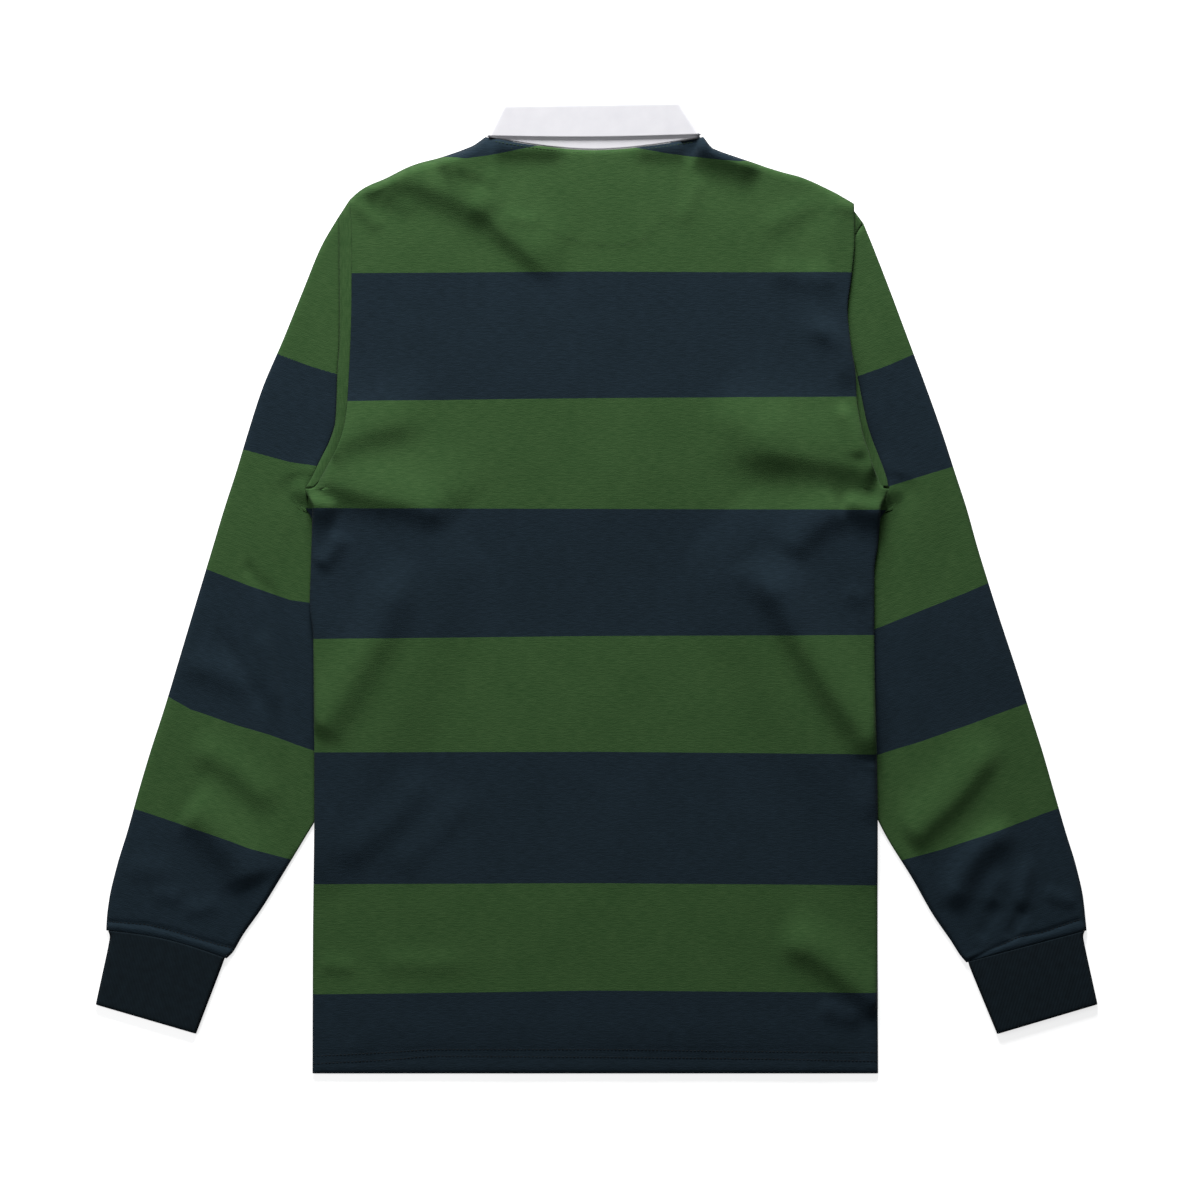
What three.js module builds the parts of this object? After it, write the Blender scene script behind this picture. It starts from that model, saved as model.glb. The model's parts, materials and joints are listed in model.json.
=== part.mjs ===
// Long-sleeved rugby shirt, laid face down on a flat surface with its back panel on top.
// Millimetres. +Z is up, +Y points to the collar and +X to the right of someone looking down on it.
// Tables give places as a distance across from the centre back and a distance down from the side neck.

import * as THREE from 'three';

// Cloth and how its layers lie
const JERSEY = 1.2;              // thickness of the striped jersey
const DRILL = 1.3;               // thickness of the collar and placket drill
const RIB = 1.6;                 // thickness of the cuff rib
const SEAM_GAP = 0.3;            // gap between pieces at a seam
const LAYER = JERSEY + SEAM_GAP; // spacing of two layers that lie on each other
const FLOOR_LAYER = JERSEY / 2;  // middle of the layer that lies on the floor
const FOLD_ROUND = 0.6;          // how far a folded edge is rounded in
const LOFT = 2.7;                // how far the upper layer stands off in the middle
const LOFT_REACH = 28;           // distance from a fold over which it rises to that

// Body
const SIDE_NECK_Y = 360;         // the side neck points, so that the shirt is centred on the origin
const BODY_LENGTH = 748;         // side neck to hem
const NECK_HALF_WIDTH = 86.9;
const NECK_CENTRE = -1.8;
const BACK_NECK_DROP = 10.5;
const FRONT_NECK_DROP = 78;
const ARMPIT_DOWN = 281;
const SHOULDER_DOWN = 50;        // mean drop of the shoulder ends
const HEM_FLATTENING = 1.5;      // the hem lies flatter than the side seams

// What lies under the body and lifts it
const TUCK_RISE = 3.4;           // the tucked underarm of a sleeve
const TUCK_MARGIN = 12;          // the sleeve lies flat this far outside the body
const LEAF_RISE = 1.7;           // the collar leaf under the front
const PLACKET_RISE = 2.6;        // the placket and its buttons
const LAP_RISE = 2;              // the back panel where it laps over the right armhole band
const BAND_CROWN = { left: 1.2, right: 0 };

// Placket and buttons
const PLACKET_WIDTH = 30;
const BUTTON_DIAMETER = 11;
const BUTTON_THICKNESS = 2.2;
const BUTTON_DOWN = [100, 150, 200];

// Collar
const ROLL_HALF_WIDTH = 86;      // the fold along the top of the collar, with its corners
const LEAF_POINT = { across: 42, down: 112 };
const FRONT_ROLL_DOWN = 52;
const LEAF_LIFT = 1.4;           // how far the leaf's free edge springs up at the centre back

const SIDES = { left: -1, right: 1 };

// Shoulder line from the side neck outward
const SHOULDER = {
  left: [
    { across: 88.7, down: 0 }, { across: 98.4, down: 6.9 }, { across: 110.3, down: 11.7 },
    { across: 124.1, down: 16.3 }, { across: 144.5, down: 21.8 }, { across: 168.5, down: 33 },
    { across: 188.5, down: 42.2 }, { across: 197.3, down: 49.8 },
  ],
  right: [
    { across: 85.1, down: 0 }, { across: 91.8, down: 8.7 }, { across: 100.1, down: 12.2 },
    { across: 118.4, down: 18.4 }, { across: 148.8, down: 28.2 }, { across: 161.9, down: 31.6 },
    { across: 187.3, down: 42.9 }, { across: 205.4, down: 53.4 },
  ],
};

// Top of each armhole, where panel, band and sleeve reach the shoulder fold
const ARMHOLE_TOP = {
  left: { panel: [197.3, 49.8], band: [197.3, 49.8], sleeve: [206.5, 63.8] },
  right: { panel: [205.4, 53.4], band: [198.7, 49.4], sleeve: [213.1, 68.2] },
};

// Armhole: edge of the back panel, seam of body and band, seam of band and sleeve
const ARMHOLE = {
  left: [
    { down: 82, panel: 195.7, band: 195.7, sleeve: 205.9 },
    { down: 110, panel: 195.7, band: 195.7, sleeve: 205.7 },
    { down: 138, panel: 195.9, band: 195.9, sleeve: 205.4 },
    { down: 166, panel: 196.9, band: 196.9, sleeve: 205.6 },
    { down: 190, panel: 197.9, band: 197.9, sleeve: 207.2 },
    { down: 210, panel: 198.9, band: 198.9, sleeve: 207.7 },
    { down: 228, panel: 200.9, band: 200.9, sleeve: 208.8 },
    { down: 242, panel: 204.5, band: 204.5, sleeve: 212.9 },
    { down: 254, panel: 209.7, band: 209.7, sleeve: 218.7 },
    { down: 264, panel: 215.3, band: 215.3, sleeve: 223.7 },
    { down: 273, panel: 220.5, band: 220.5, sleeve: 227.8 },
    { down: 281, panel: 227.7, band: 227.7, sleeve: 232.9 },
  ],
  right: [
    { down: 82, panel: 205.8, band: 196.5, sleeve: 205.5 },
    { down: 110, panel: 203.5, band: 192.9, sleeve: 201.9 },
    { down: 138, panel: 200.2, band: 189.3, sleeve: 198.3 },
    { down: 166, panel: 202.7, band: 192.1, sleeve: 201.1 },
    { down: 190, panel: 206.5, band: 198.9, sleeve: 207.9 },
    { down: 210, panel: 207.5, band: 203.1, sleeve: 212.1 },
    { down: 228, panel: 210.2, band: 206.9, sleeve: 215.9 },
    { down: 242, panel: 213.4, band: 211.3, sleeve: 220.3 },
    { down: 254, panel: 217.4, band: 216, sleeve: 225 },
    { down: 264, panel: 220.5, band: 219.9, sleeve: 228.8 },
    { down: 273, panel: 224.6, band: 223.8, sleeve: 231.8 },
    { down: 281, panel: 229.4, band: 227.2, sleeve: 233.4 },
  ],
};

const SIDE_SEAM = {
  left: [
    { down: 296, across: 226.9 }, { down: 347, across: 228.1 }, { down: 372, across: 228.9 },
    { down: 402, across: 226.1 }, { down: 546, across: 225.3 }, { down: 634, across: 226.5 },
    { down: BODY_LENGTH, across: 226.9 },
  ],
  right: [
    { down: 296, across: 227 }, { down: 325, across: 224.6 }, { down: 347, across: 221.6 },
    { down: 392, across: 221.6 }, { down: 546, across: 224.3 }, { down: 634, across: 224.3 },
    { down: BODY_LENGTH, across: 224.7 },
  ],
};

// Sleeve sections from the armhole to the cuff: outer fold, underarm fold and, where the sleeve
// turns in under the body, the place of that turn. Round the armpit corner a section hooks outward.
const SLEEVE = {
  left: [
    { outer: [219.7, 86.6], inner: [232.1, 284.2], hook: 4.5 },
    { outer: [234.9, 123.4], inner: [231.4, 288.2], hook: 8 },
    { outer: [250.5, 161.8], inner: [230.5, 292.2], hook: 10 },
    { outer: [267, 200.2], inner: [229.6, 296.2], hook: 11 },
    { outer: [278.8, 236.2], inner: [228.2, 301], hook: 8 },
    { outer: [288.5, 268.2], inner: [189.3, 312.2], turn: [229.3, 305.8] },
    { outer: [298.1, 297.8], inner: [147.7, 325.8], turn: [230.9, 321.8] },
    { outer: [306.5, 325.8], inner: [138.1, 347.4], turn: [232.5, 342.6] },
    { outer: [314.9, 353.8], inner: [145.3, 377.8], turn: [234.9, 368.2] },
    { outer: [324.5, 385.8], inner: [157.3, 411.4], turn: [237.3, 401.8] },
    { outer: [335, 421], inner: [173.3, 449.8], turn: [238.9, 440.2] },
    { outer: [345.6, 456.2], inner: [194.1, 488.2], turn: [245.3, 477.8] },
    { outer: [357, 491.4], inner: [213.3, 526.6], turn: [259.7, 515.4] },
    { outer: [366.5, 523.4], inner: [232.5, 558.6] },
    { outer: [374.9, 553.8], inner: [250.9, 589] },
    { outer: [383.7, 582.6], inner: [267.7, 616.2] },
    { outer: [389.7, 608.2], inner: [282.9, 637.8] },
    { outer: [391.7, 624.2], inner: [290.9, 651.4] },
    { outer: [392.2, 633.8], inner: [295.7, 656.2] },
  ],
  right: [
    { outer: [221.1, 88.2], inner: [232.7, 284.2], hook: 4.5 },
    { outer: [234.7, 123.4], inner: [231.9, 288.2], hook: 8 },
    { outer: [249.1, 161.8], inner: [231, 292.2], hook: 10 },
    { outer: [263.5, 200.2], inner: [229.9, 296.2], hook: 11 },
    { outer: [276.3, 236.2], inner: [228.7, 301], hook: 8 },
    { outer: [286.7, 268.2], inner: [186.7, 312.2], turn: [228.5, 307.4] },
    { outer: [296.3, 297.8], inner: [138.7, 328.2], turn: [227.5, 323.4] },
    { outer: [304.3, 326.6], inner: [116.3, 347.4], turn: [226.5, 344.2] },
    { outer: [313.1, 355.4], inner: [127.5, 374.6], turn: [226.5, 369.8] },
    { outer: [322.7, 385.8], inner: [148.3, 405.8], turn: [228.5, 403.4] },
    { outer: [334.3, 421], inner: [167.5, 443.4], turn: [233, 441.8] },
    { outer: [345.5, 456.2], inner: [191.5, 483.4], turn: [244, 480.2] },
    { outer: [356.7, 491.4], inner: [213.9, 523.4], turn: [260, 518.6] },
    { outer: [365.9, 523.4], inner: [231.5, 558.6] },
    { outer: [374.7, 553.8], inner: [252.3, 592.2] },
    { outer: [383.5, 582.6], inner: [268.7, 621] },
    { outer: [388.9, 606.6], inner: [283.5, 642.6] },
    { outer: [390.7, 622.6], inner: [290.7, 653.8] },
    { outer: [391.8, 633.8], inner: [295.5, 659.4] },
  ],
};
const TUCKED_SECTIONS = [4, 14]; // the sections that reach under the body
const TURN_STATION = 9;          // the armhole station whose line follows the turn
const FIRST_BOW = 0.2;           // how much of the armhole's curve the first section keeps
const HOOK_SHAPE = [0.15, 0.4, 0.8, 1, 0]; // the outward hook over a section's last places
const CUFF_SEAM_BOW = { left: 4, right: 0 };

// Cuff: its end corners, and the two places where it narrows below the seam
const CUFF = {
  left: { neck: [[389.3, 639.4], [299.4, 661.8]], end: [[400.5, 693], [320.2, 716.4]] },
  right: { neck: [[389.1, 639], [298.1, 662.6]], end: [[400.5, 692.8], [320.2, 716.6]] },
};
const CUFF_INSET = 1.6;

// Main folds of the upper layer: a ridge where rise is positive, a trough where it is negative
const BACK_FOLDS = [
  { start: [-176, 44], middle: [-93, 75], end: [-32, 121], rise: -2.4, spread: 10 },
  { start: [-160, 24], middle: [-80, 52], end: [-20, 104], rise: 1.6, spread: 10 },
  { start: [88, 225], middle: [155, 271], end: [214, 281], rise: -2.6, spread: 14 },
  { start: [96, 208], middle: [150, 246], end: [206, 258], rise: 1.6, spread: 14 },
  { start: [128, 346], middle: [155, 318], end: [208, 293], rise: 3, spread: 13 },
  { start: [-213, 264], middle: [-180, 255], end: [-136, 240], rise: -2.2, spread: 11 },
  { start: [-212, 279], middle: [-169, 274], end: [-110, 272], rise: 2.2, spread: 11 },
  { start: [-206, 291], middle: [-169, 307], end: [-128, 324], rise: -2.2, spread: 9 },
  { start: [-130, 332], middle: [-158, 400], end: [-212, 478], rise: 2.6, spread: 13 },
  { start: [118, 340], middle: [168, 398], end: [216, 488], rise: 2.8, spread: 13 },
  { start: [148, 430], middle: [176, 472], end: [206, 520], rise: -1.8, spread: 12 },
  { start: [158, 646], middle: [196, 674], end: [218, 700], rise: 2.2, spread: 12 },
];
const SLEEVE_FOLDS = {
  left: [
    { start: [-262, 356], middle: [-244, 432], end: [-236, 476], rise: -2, spread: 9 },
    { start: [-322, 550], middle: [-298, 578], end: [-280, 604], rise: 3, spread: 11 },
    { start: [-334, 566], middle: [-312, 592], end: [-294, 614], rise: -2, spread: 9 },
    { start: [-312, 500], middle: [-272, 532], end: [-246, 562], rise: -1.4, spread: 12 },
  ],
  right: [
    { start: [330, 478], middle: [292, 528], end: [252, 568], rise: 3, spread: 11 },
    { start: [338, 560], middle: [306, 582], end: [292, 626], rise: -2.4, spread: 12 },
    { start: [330, 548], middle: [296, 572], end: [278, 612], rise: 1.6, spread: 11 },
  ],
};
const FOLD_STEPS = 8;

// Panel grid
const SHOULDER_CELLS = 8;
const NECK_CELLS = 13;
const FRONT_NECK_CELLS = 5;
const PANEL_ROWS = [
  66, ...ARMHOLE.left.map((row) => row.down),
  296, 314, 332, 352, 374, 398, 422, 448, 476, 504, 532, 560, 590, 620, 650, 680, 708, 730, BODY_LENGTH,
];

// Cloth colours
const GREEN = 0x334b2c;
const NAVY = 0x1a2429;
const WHITE = 0xecebf0;

const mix = (a, b, t) => a + (b - a) * t;
const clamp01 = (t) => Math.min(Math.max(t, 0), 1);
const mixPoint = (a, b, t) => [mix(a[0], b[0], t), mix(a[1], b[1], t)];

function smooth(from, to, value) {
  const t = clamp01((value - from) / (to - from));
  return t * t * (3 - 2 * t);
}

// Value of one column of a table at a place between its rows
function readTable(rows, key, value, column) {
  let i = 1;
  while (i < rows.length - 1 && rows[i][key] < value) i += 1;
  const [a, b] = [rows[i - 1], rows[i]];
  return mix(a[column], b[column], clamp01((value - a[key]) / (b[key] - a[key])));
}

// Distance from a place to a line of points, and how far along the line the nearest point lies
function nearest(line, x, down) {
  let best = { distance: Infinity, along: 0 };
  for (let i = 1; i < line.length; i += 1) {
    const [ax, ay] = line[i - 1];
    const [dx, dy] = [line[i][0] - ax, line[i][1] - ay];
    const t = clamp01(((x - ax) * dx + (down - ay) * dy) / (dx * dx + dy * dy));
    const distance = Math.hypot(x - ax - dx * t, down - ay - dy * t);
    if (distance < best.distance) best = { distance, along: (i - 1 + t) / (line.length - 1) };
  }
  return best;
}

// Distance outside a closed outline, zero within it
function outside(outline, x, down) {
  let within = false;
  outline.forEach(([ax, ay], i) => {
    const [bx, by] = outline[(i + 1) % outline.length];
    if (ay > down !== by > down && x < ax + ((bx - ax) * (down - ay)) / (by - ay)) within = !within;
  });
  return within ? 0 : nearest([...outline, outline[0]], x, down).distance;
}

// Presence of something that lies underneath: one over it, falling to zero away from it
const presence = (outline, x, down, from, to) => 1 - smooth(from, to, outside(outline, x, down));

// Lines of the cut, as places across and down with their sign
const signed = (side, [across, down]) => [SIDES[side] * across, down];
const shoulderLine = (side) => SHOULDER[side].map((row) => signed(side, [row.across, row.down]));

function armholeLine(side, edge, shift = 0) {
  const rows = [ARMHOLE_TOP[side][edge], ...ARMHOLE[side].map((row) => [row[edge], row.down])];
  return rows.map(([across, down]) => signed(side, [across + shift, down]));
}

function sideSeamLine(side) {
  const armpit = [ARMHOLE[side].at(-1).panel, ARMPIT_DOWN];
  return [armpit, ...SIDE_SEAM[side].map((row) => [row.across, row.down])].map((p) => signed(side, p));
}

function outerLine(side) {
  const top = signed(side, ARMHOLE_TOP[side].sleeve);
  return [...shoulderLine(side), top, ...SLEEVE[side].map((section) => signed(side, section.outer))];
}

const underarmLine = (side) => SLEEVE[side].slice(13).map((section) => signed(side, section.inner));
const tuckOutline = (side) => SLEEVE[side].slice(...TUCKED_SECTIONS).map((s) => signed(side, s.inner));

const LINES = Object.fromEntries(Object.keys(SIDES).map((side) => [side, {
  outer: outerLine(side),
  seam: sideSeamLine(side),
  underarm: underarmLine(side),
  tuck: tuckOutline(side),
  armhole: armholeLine(side, 'sleeve'),
}]));

const COLLAR_OUTLINE = [
  [-88, -1], [-75, -25], [73, -25], [84, -1], [LEAF_POINT.across, LEAF_POINT.down],
  [0, FRONT_NECK_DROP], [-LEAF_POINT.across, LEAF_POINT.down],
];
const PLACKET_OUTLINE = [
  [-PLACKET_WIDTH / 2, FRONT_NECK_DROP], [PLACKET_WIDTH / 2, FRONT_NECK_DROP],
  [PLACKET_WIDTH / 2, 247], [-PLACKET_WIDTH / 2, 247],
];

// A fold's curve through its start, middle and end
function foldLine({ start, middle, end }) {
  const pull = [0, 1].map((k) => 2 * middle[k] - (start[k] + end[k]) / 2);
  return Array.from({ length: FOLD_STEPS + 1 }, (_, i) => {
    const t = i / FOLD_STEPS;
    return mixPoint(mixPoint(start, pull, t), mixPoint(pull, end, t), t);
  });
}

const withLines = (folds) => folds.map((fold) => ({ ...fold, line: foldLine(fold) }));
const backFolds = withLines(BACK_FOLDS);
const sleeveFolds = { left: withLines(SLEEVE_FOLDS.left), right: withLines(SLEEVE_FOLDS.right) };

function foldHeight(folds, x, down) {
  return folds.reduce((sum, fold) => {
    const { distance, along } = nearest(fold.line, x, down);
    const fade = smooth(0, 0.25, along) * (1 - smooth(0.75, 1, along));
    return sum + fold.rise * Math.exp(-((distance / fold.spread) ** 2)) * fade;
  }, 0);
}

const swell = (distance) => 1 - (1 - clamp01(distance / LOFT_REACH)) ** 2;

// Distance from the folds that close the body, or one sleeve, seen from above
function bodyDepth(x, down) {
  const lines = [LINES.left.outer, LINES.right.outer, LINES.left.seam, LINES.right.seam];
  const distances = lines.map((line) => nearest(line, x, down).distance);
  return Math.min(...distances, (BODY_LENGTH - down) * HEM_FLATTENING);
}

function sleeveDepth(side, x, down) {
  const { outer, seam, underarm } = LINES[side];
  const inSeam = down > ARMPIT_DOWN && Math.abs(x) < Math.abs(edgeAcross(side, 'panel', down));
  if (inSeam) return 0;
  const flat = Math.min(nearest(seam, x, down).distance, nearest(underarm, x, down).distance);
  return Math.min(nearest(outer, x, down).distance, Math.max(flat - TUCK_MARGIN, 0));
}

const tuck = (side, x, down) => presence(LINES[side].tuck, x, down, 10, 60);

// Middle heights of the lower and upper layer of the body
function lowerLayer(x, down) {
  return FLOOR_LAYER + Math.max(
    TUCK_RISE * tuck('left', x, down),
    TUCK_RISE * tuck('right', x, down),
    LEAF_RISE * presence(COLLAR_OUTLINE, x, down, 8, 50),
    PLACKET_RISE * presence(PLACKET_OUTLINE, x, down, 8, 50),
  );
}

function upperLayer(x, down) {
  const loft = swell(bodyDepth(x, down));
  return lowerLayer(x, down) + LAYER + LOFT * loft;
}

function backLayer(x, down) {
  const base = upperLayer(x, down);
  const lap = x > 0 ? 1 - smooth(16, 45, nearest(LINES.right.armhole, x, down).distance) : 0;
  const folded = base + LAP_RISE * lap + foldHeight(backFolds, x, down) * swell(bodyDepth(x, down));
  return Math.max(folded, lowerLayer(x, down) + LAYER);
}

// Middle heights of a sleeve: its armpit corner lies at the body's height and drops to the floor
function sleeveLower(side, x, down) {
  const near = 1 - smooth(0, 16, nearest(LINES[side].armhole, x, down).distance);
  return FLOOR_LAYER + TUCK_RISE * tuck(side, x, down) * near;
}

function sleeveUpper(side, x, down) {
  const low = sleeveLower(side, x, down) + LAYER;
  const loft = swell(sleeveDepth(side, x, down));
  return Math.max(low + (LOFT + foldHeight(sleeveFolds[side], x, down)) * loft, low);
}

// Edge of a panel at a row, where edge names the armhole column that it follows
function edgeAcross(side, edge, down) {
  const top = { down: ARMHOLE_TOP[side][edge][1], across: ARMHOLE_TOP[side][edge][0] };
  const armhole = ARMHOLE[side].map((row) => ({ down: row.down, across: row[edge] }));
  const across = readTable([top, ...armhole, ...SIDE_SEAM[side]], 'down', down, 'across');
  return SIDES[side] * (across - SEAM_GAP / 2);
}

// Closed mesh of a wall between an outer and an inner grid of points
function clothWall(outer, inner, { wrap = false, keep = () => true } = {}) {
  const rows = outer.length - 1;
  const columns = outer[0].length - (wrap ? 0 : 1);
  const positions = [];
  const triangle = (...points) => points.forEach(([x, down, z]) => {
    positions.push(x, SIDE_NECK_Y - down, z);
  });
  const column = (j) => (wrap ? (j + columns) % columns : j);
  const kept = (i, j) => i >= 0 && i < rows && (wrap || (j >= 0 && j < columns)) && keep(i, column(j));
  for (let i = 0; i < rows; i += 1) {
    for (let j = 0; j < columns; j += 1) {
      if (!kept(i, j)) continue;
      const k = column(j + 1);
      const corners = [[i, j], [i + 1, j], [i + 1, k], [i, k]];
      const [o0, o1, o2, o3] = corners.map(([r, c]) => outer[r][c]);
      const [n0, n1, n2, n3] = corners.map(([r, c]) => inner[r][c]);
      triangle(o0, o1, o2);
      triangle(o0, o2, o3);
      triangle(n2, n1, n0);
      triangle(n3, n2, n0);
      const sides = [[o0, o1, n0, n1, i, j - 1], [o1, o2, n1, n2, i + 1, j],
        [o2, o3, n2, n3, i, j + 1], [o3, o0, n3, n0, i - 1, j]];
      sides.filter(([, , , , r, c]) => !kept(r, c)).forEach(([oa, ob, na, nb]) => {
        triangle(ob, oa, na);
        triangle(ob, na, nb);
      });
    }
  }
  const geometry = new THREE.BufferGeometry();
  geometry.setAttribute('position', new THREE.Float32BufferAttribute(positions, 3));
  geometry.computeVertexNormals();
  return geometry;
}

// Wall of a panel from the places of its grid and the height of its middle
function panelWall(places, height, thickness, options) {
  const layer = (offset) => places.map((row) => row.map(([x, down]) => [x, down, height(x, down) + offset]));
  return clothWall(layer(thickness / 2), layer(-thickness / 2), options);
}

// Flattened ring: the upper path from its left fold to its right fold, then the lower path back.
// Both paths share their ends, which are folds.
function foldedRing(upper, lower, thickness) {
  const last = upper.length - 1;
  const inset = (path, k, by) => {
    const [x, down, z] = path[k];
    if (k > 0 && k < last) return [x, down, z];
    const [nx, nd] = path[k === 0 ? 1 : last - 1];
    const length = Math.hypot(nx - x, nd - down);
    return [x + ((nx - x) / length) * by, down + ((nd - down) / length) * by, z];
  };
  const raise = ([x, down, z], by) => [x, down, z + by];
  const fold = (k, by) => {
    const [x, down] = inset(upper, k, by);
    return [x, down, (upper[k][2] + lower[k][2]) / 2];
  };
  const loop = (by, offset) => [
    ...upper.map((_, k) => raise(inset(upper, k, by + FOLD_ROUND), offset)),
    fold(last, by),
    ...lower.map((_, k) => raise(inset(lower, k, by + FOLD_ROUND), -offset)).reverse(),
    fold(0, by),
  ];
  return { outer: loop(0, thickness / 2), inner: loop(thickness, -thickness / 2) };
}

function ringWall(rings, options = {}) {
  return clothWall(rings.map((ring) => ring.outer), rings.map((ring) => ring.inner), { wrap: true, ...options });
}

// Neck curves
const backNeck = (x) => BACK_NECK_DROP * (1 - Math.abs((x - NECK_CENTRE) / NECK_HALF_WIDTH) ** 1.75);

function frontNeck(turn) {
  const sine = Math.sin(turn);
  return [NECK_CENTRE - (NECK_HALF_WIDTH + NECK_CENTRE * Math.abs(Math.cos(turn))) * Math.cos(turn),
    FRONT_NECK_DROP * sine ** 0.85];
}

// Top boundary of a panel from its left shoulder end to its right one
function shoulderPoints(side, edge, cells) {
  const [end] = [ARMHOLE_TOP[side][edge][0] - SEAM_GAP / 2];
  const neck = SHOULDER[side][0].across;
  return Array.from({ length: cells + 1 }, (_, k) => {
    const across = mix(end, neck, k / cells);
    return signed(side, [across, readTable(SHOULDER[side], 'across', across, 'down')]);
  });
}

function backNeckPoints() {
  const [from, to] = [-SHOULDER.left[0].across, SHOULDER.right[0].across];
  return Array.from({ length: NECK_CELLS + 1 }, (_, k) => {
    const x = mix(from, to, k / NECK_CELLS);
    return [x, Math.max(backNeck(x), 0)];
  });
}

// Front neck edge from one side neck point to the slit
function frontNeckPoints(side) {
  const slit = PLACKET_WIDTH / 2 + SEAM_GAP;
  const start = SHOULDER[side][0].across;
  return Array.from({ length: FRONT_NECK_CELLS + 1 }, (_, k) => {
    const turn = (k / FRONT_NECK_CELLS) * (Math.PI / 2);
    const reach = (start - slit) * Math.cos(turn) + slit;
    return signed(side, [reach, (FRONT_NECK_DROP - SEAM_GAP) * Math.sin(turn) ** 0.85]);
  });
}

// Grid of a panel: its top boundary, then rows that flatten out toward the armpits
function panelPlaces(top, edge) {
  const [left, right] = [top[0], top.at(-1)];
  const shares = top.map(([x]) => (x - left[0]) / (right[0] - left[0]));
  const rows = PANEL_ROWS.map((level) => {
    const arch = Math.max(0, (ARMPIT_DOWN - level) / (ARMPIT_DOWN - SHOULDER_DOWN));
    const [from, to] = [edgeAcross('left', edge, level), edgeAcross('right', edge, level)];
    return top.map(([, down], k) => {
      const end = mix(left[1], right[1], shares[k]);
      return [mix(from, to, shares[k]), level + (down - end) * arch];
    });
  });
  return [top, ...rows];
}

function backPanel() {
  const top = [
    ...shoulderPoints('left', 'panel', SHOULDER_CELLS),
    ...backNeckPoints().slice(1, -1),
    ...shoulderPoints('right', 'panel', SHOULDER_CELLS).reverse(),
  ];
  return panelWall(panelPlaces(top, 'panel'), backLayer, JERSEY);
}

const frontTop = [
  ...shoulderPoints('left', 'band', SHOULDER_CELLS / 2),
  ...frontNeckPoints('left').slice(1),
  ...frontNeckPoints('right').reverse().slice(0, -1),
  ...shoulderPoints('right', 'band', SHOULDER_CELLS / 2).reverse(),
];
const SLIT_COLUMN = SHOULDER_CELLS / 2 + FRONT_NECK_CELLS;
const SLIT_ROWS = 9;

// The two columns beside the slit run straight down as far as it is cut
function frontPlaces() {
  const places = panelPlaces(frontTop, 'band');
  return places.map((row, i) => row.map(([x, down], k) => {
    const beside = k === SLIT_COLUMN || k === SLIT_COLUMN + 1;
    return beside && i <= SLIT_ROWS + 1 ? [frontTop[k][0], row[SLIT_COLUMN][1]] : [x, down];
  }));
}

function frontPanel() {
  const keep = (i, j) => j !== SLIT_COLUMN || i >= SLIT_ROWS;
  return panelWall(frontPlaces(), lowerLayer, JERSEY, { keep });
}

// Section of a sleeve as places from its outer fold to its underarm fold
function sleeveSection(side, index, stations) {
  const armhole = armholeLine(side, 'sleeve', SEAM_GAP / 2);
  if (index === 0) return armhole;
  const section = SLEEVE[side][index - 1];
  const [outer, inner] = [signed(side, section.outer), signed(side, section.inner)];
  const count = stations.length - 1;
  const even = smooth(0, 6, index);
  const shares = stations.map((share, j) => mix(share, j / count, even));
  const turnShare = shares[TURN_STATION];
  const turn = section.turn ? signed(side, section.turn) : mixPoint(outer, inner, turnShare);
  const last = index === SLEEVE[side].length;
  return shares.map((share, j) => {
    const place = j <= TURN_STATION
      ? mixPoint(outer, turn, share / turnShare)
      : mixPoint(turn, inner, (share - turnShare) / (1 - turnShare));
    const bow = index === 1 ? FIRST_BOW : 0;
    const chord = mixPoint(armhole[0], armhole[count], stations[j]);
    const lift = last ? CUFF_SEAM_BOW[side] * Math.sin(Math.PI * share) : 0;
    const hook = SIDES[side] * (section.hook ?? 0) * (HOOK_SHAPE[j - count + HOOK_SHAPE.length - 1] ?? 0);
    return [place[0] + bow * (armhole[j][0] - chord[0]) + hook, place[1] - lift];
  });
}

function alongShares(line) {
  const lengths = line.map((p, k) => (k ? Math.hypot(p[0] - line[k - 1][0], p[1] - line[k - 1][1]) : 0));
  const total = lengths.reduce((a, b) => a + b, 0);
  let sum = 0;
  return lengths.map((length) => {
    sum += length;
    return sum / total;
  });
}

// Paths run from left to right, so those of the right side are turned round
const leftToRight = (side, path) => (side === 'left' ? path : [...path].reverse());

function sleeve(side) {
  const stations = alongShares(armholeLine(side, 'sleeve'));
  const rings = Array.from({ length: SLEEVE[side].length + 1 }, (_, index) => {
    const section = leftToRight(side, sleeveSection(side, index, stations));
    const upper = section.map(([x, down]) => [x, down, sleeveUpper(side, x, down)]);
    const lower = section.map(([x, down]) => [x, down, sleeveLower(side, x, down)]);
    return foldedRing(upper, lower, JERSEY);
  });
  return ringWall(rings);
}

// Armhole band: a flattened ring round the armhole, crowned across its width
function armholeBand(side) {
  const body = armholeLine(side, 'band', SEAM_GAP / 2);
  const arm = armholeLine(side, 'sleeve', -SEAM_GAP / 2);
  const rings = [0, 0.3, 0.7, 1].map((across) => {
    const crown = BAND_CROWN[side] * Math.sin(Math.PI * across);
    const path = leftToRight(side, body.map((p, k) => mixPoint(p, arm[k], across)));
    const count = path.length - 1;
    const upper = path.map(([x, down], k) => {
      const share = Math.sin((Math.PI * k) / count);
      return [x, down, upperLayer(x, down) + crown * Math.sqrt(Math.max(share, 0))];
    });
    const lower = path.map(([x, down]) => [x, down, lowerLayer(x, down)]);
    return foldedRing(upper, lower, JERSEY);
  });
  return ringWall(rings);
}

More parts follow.
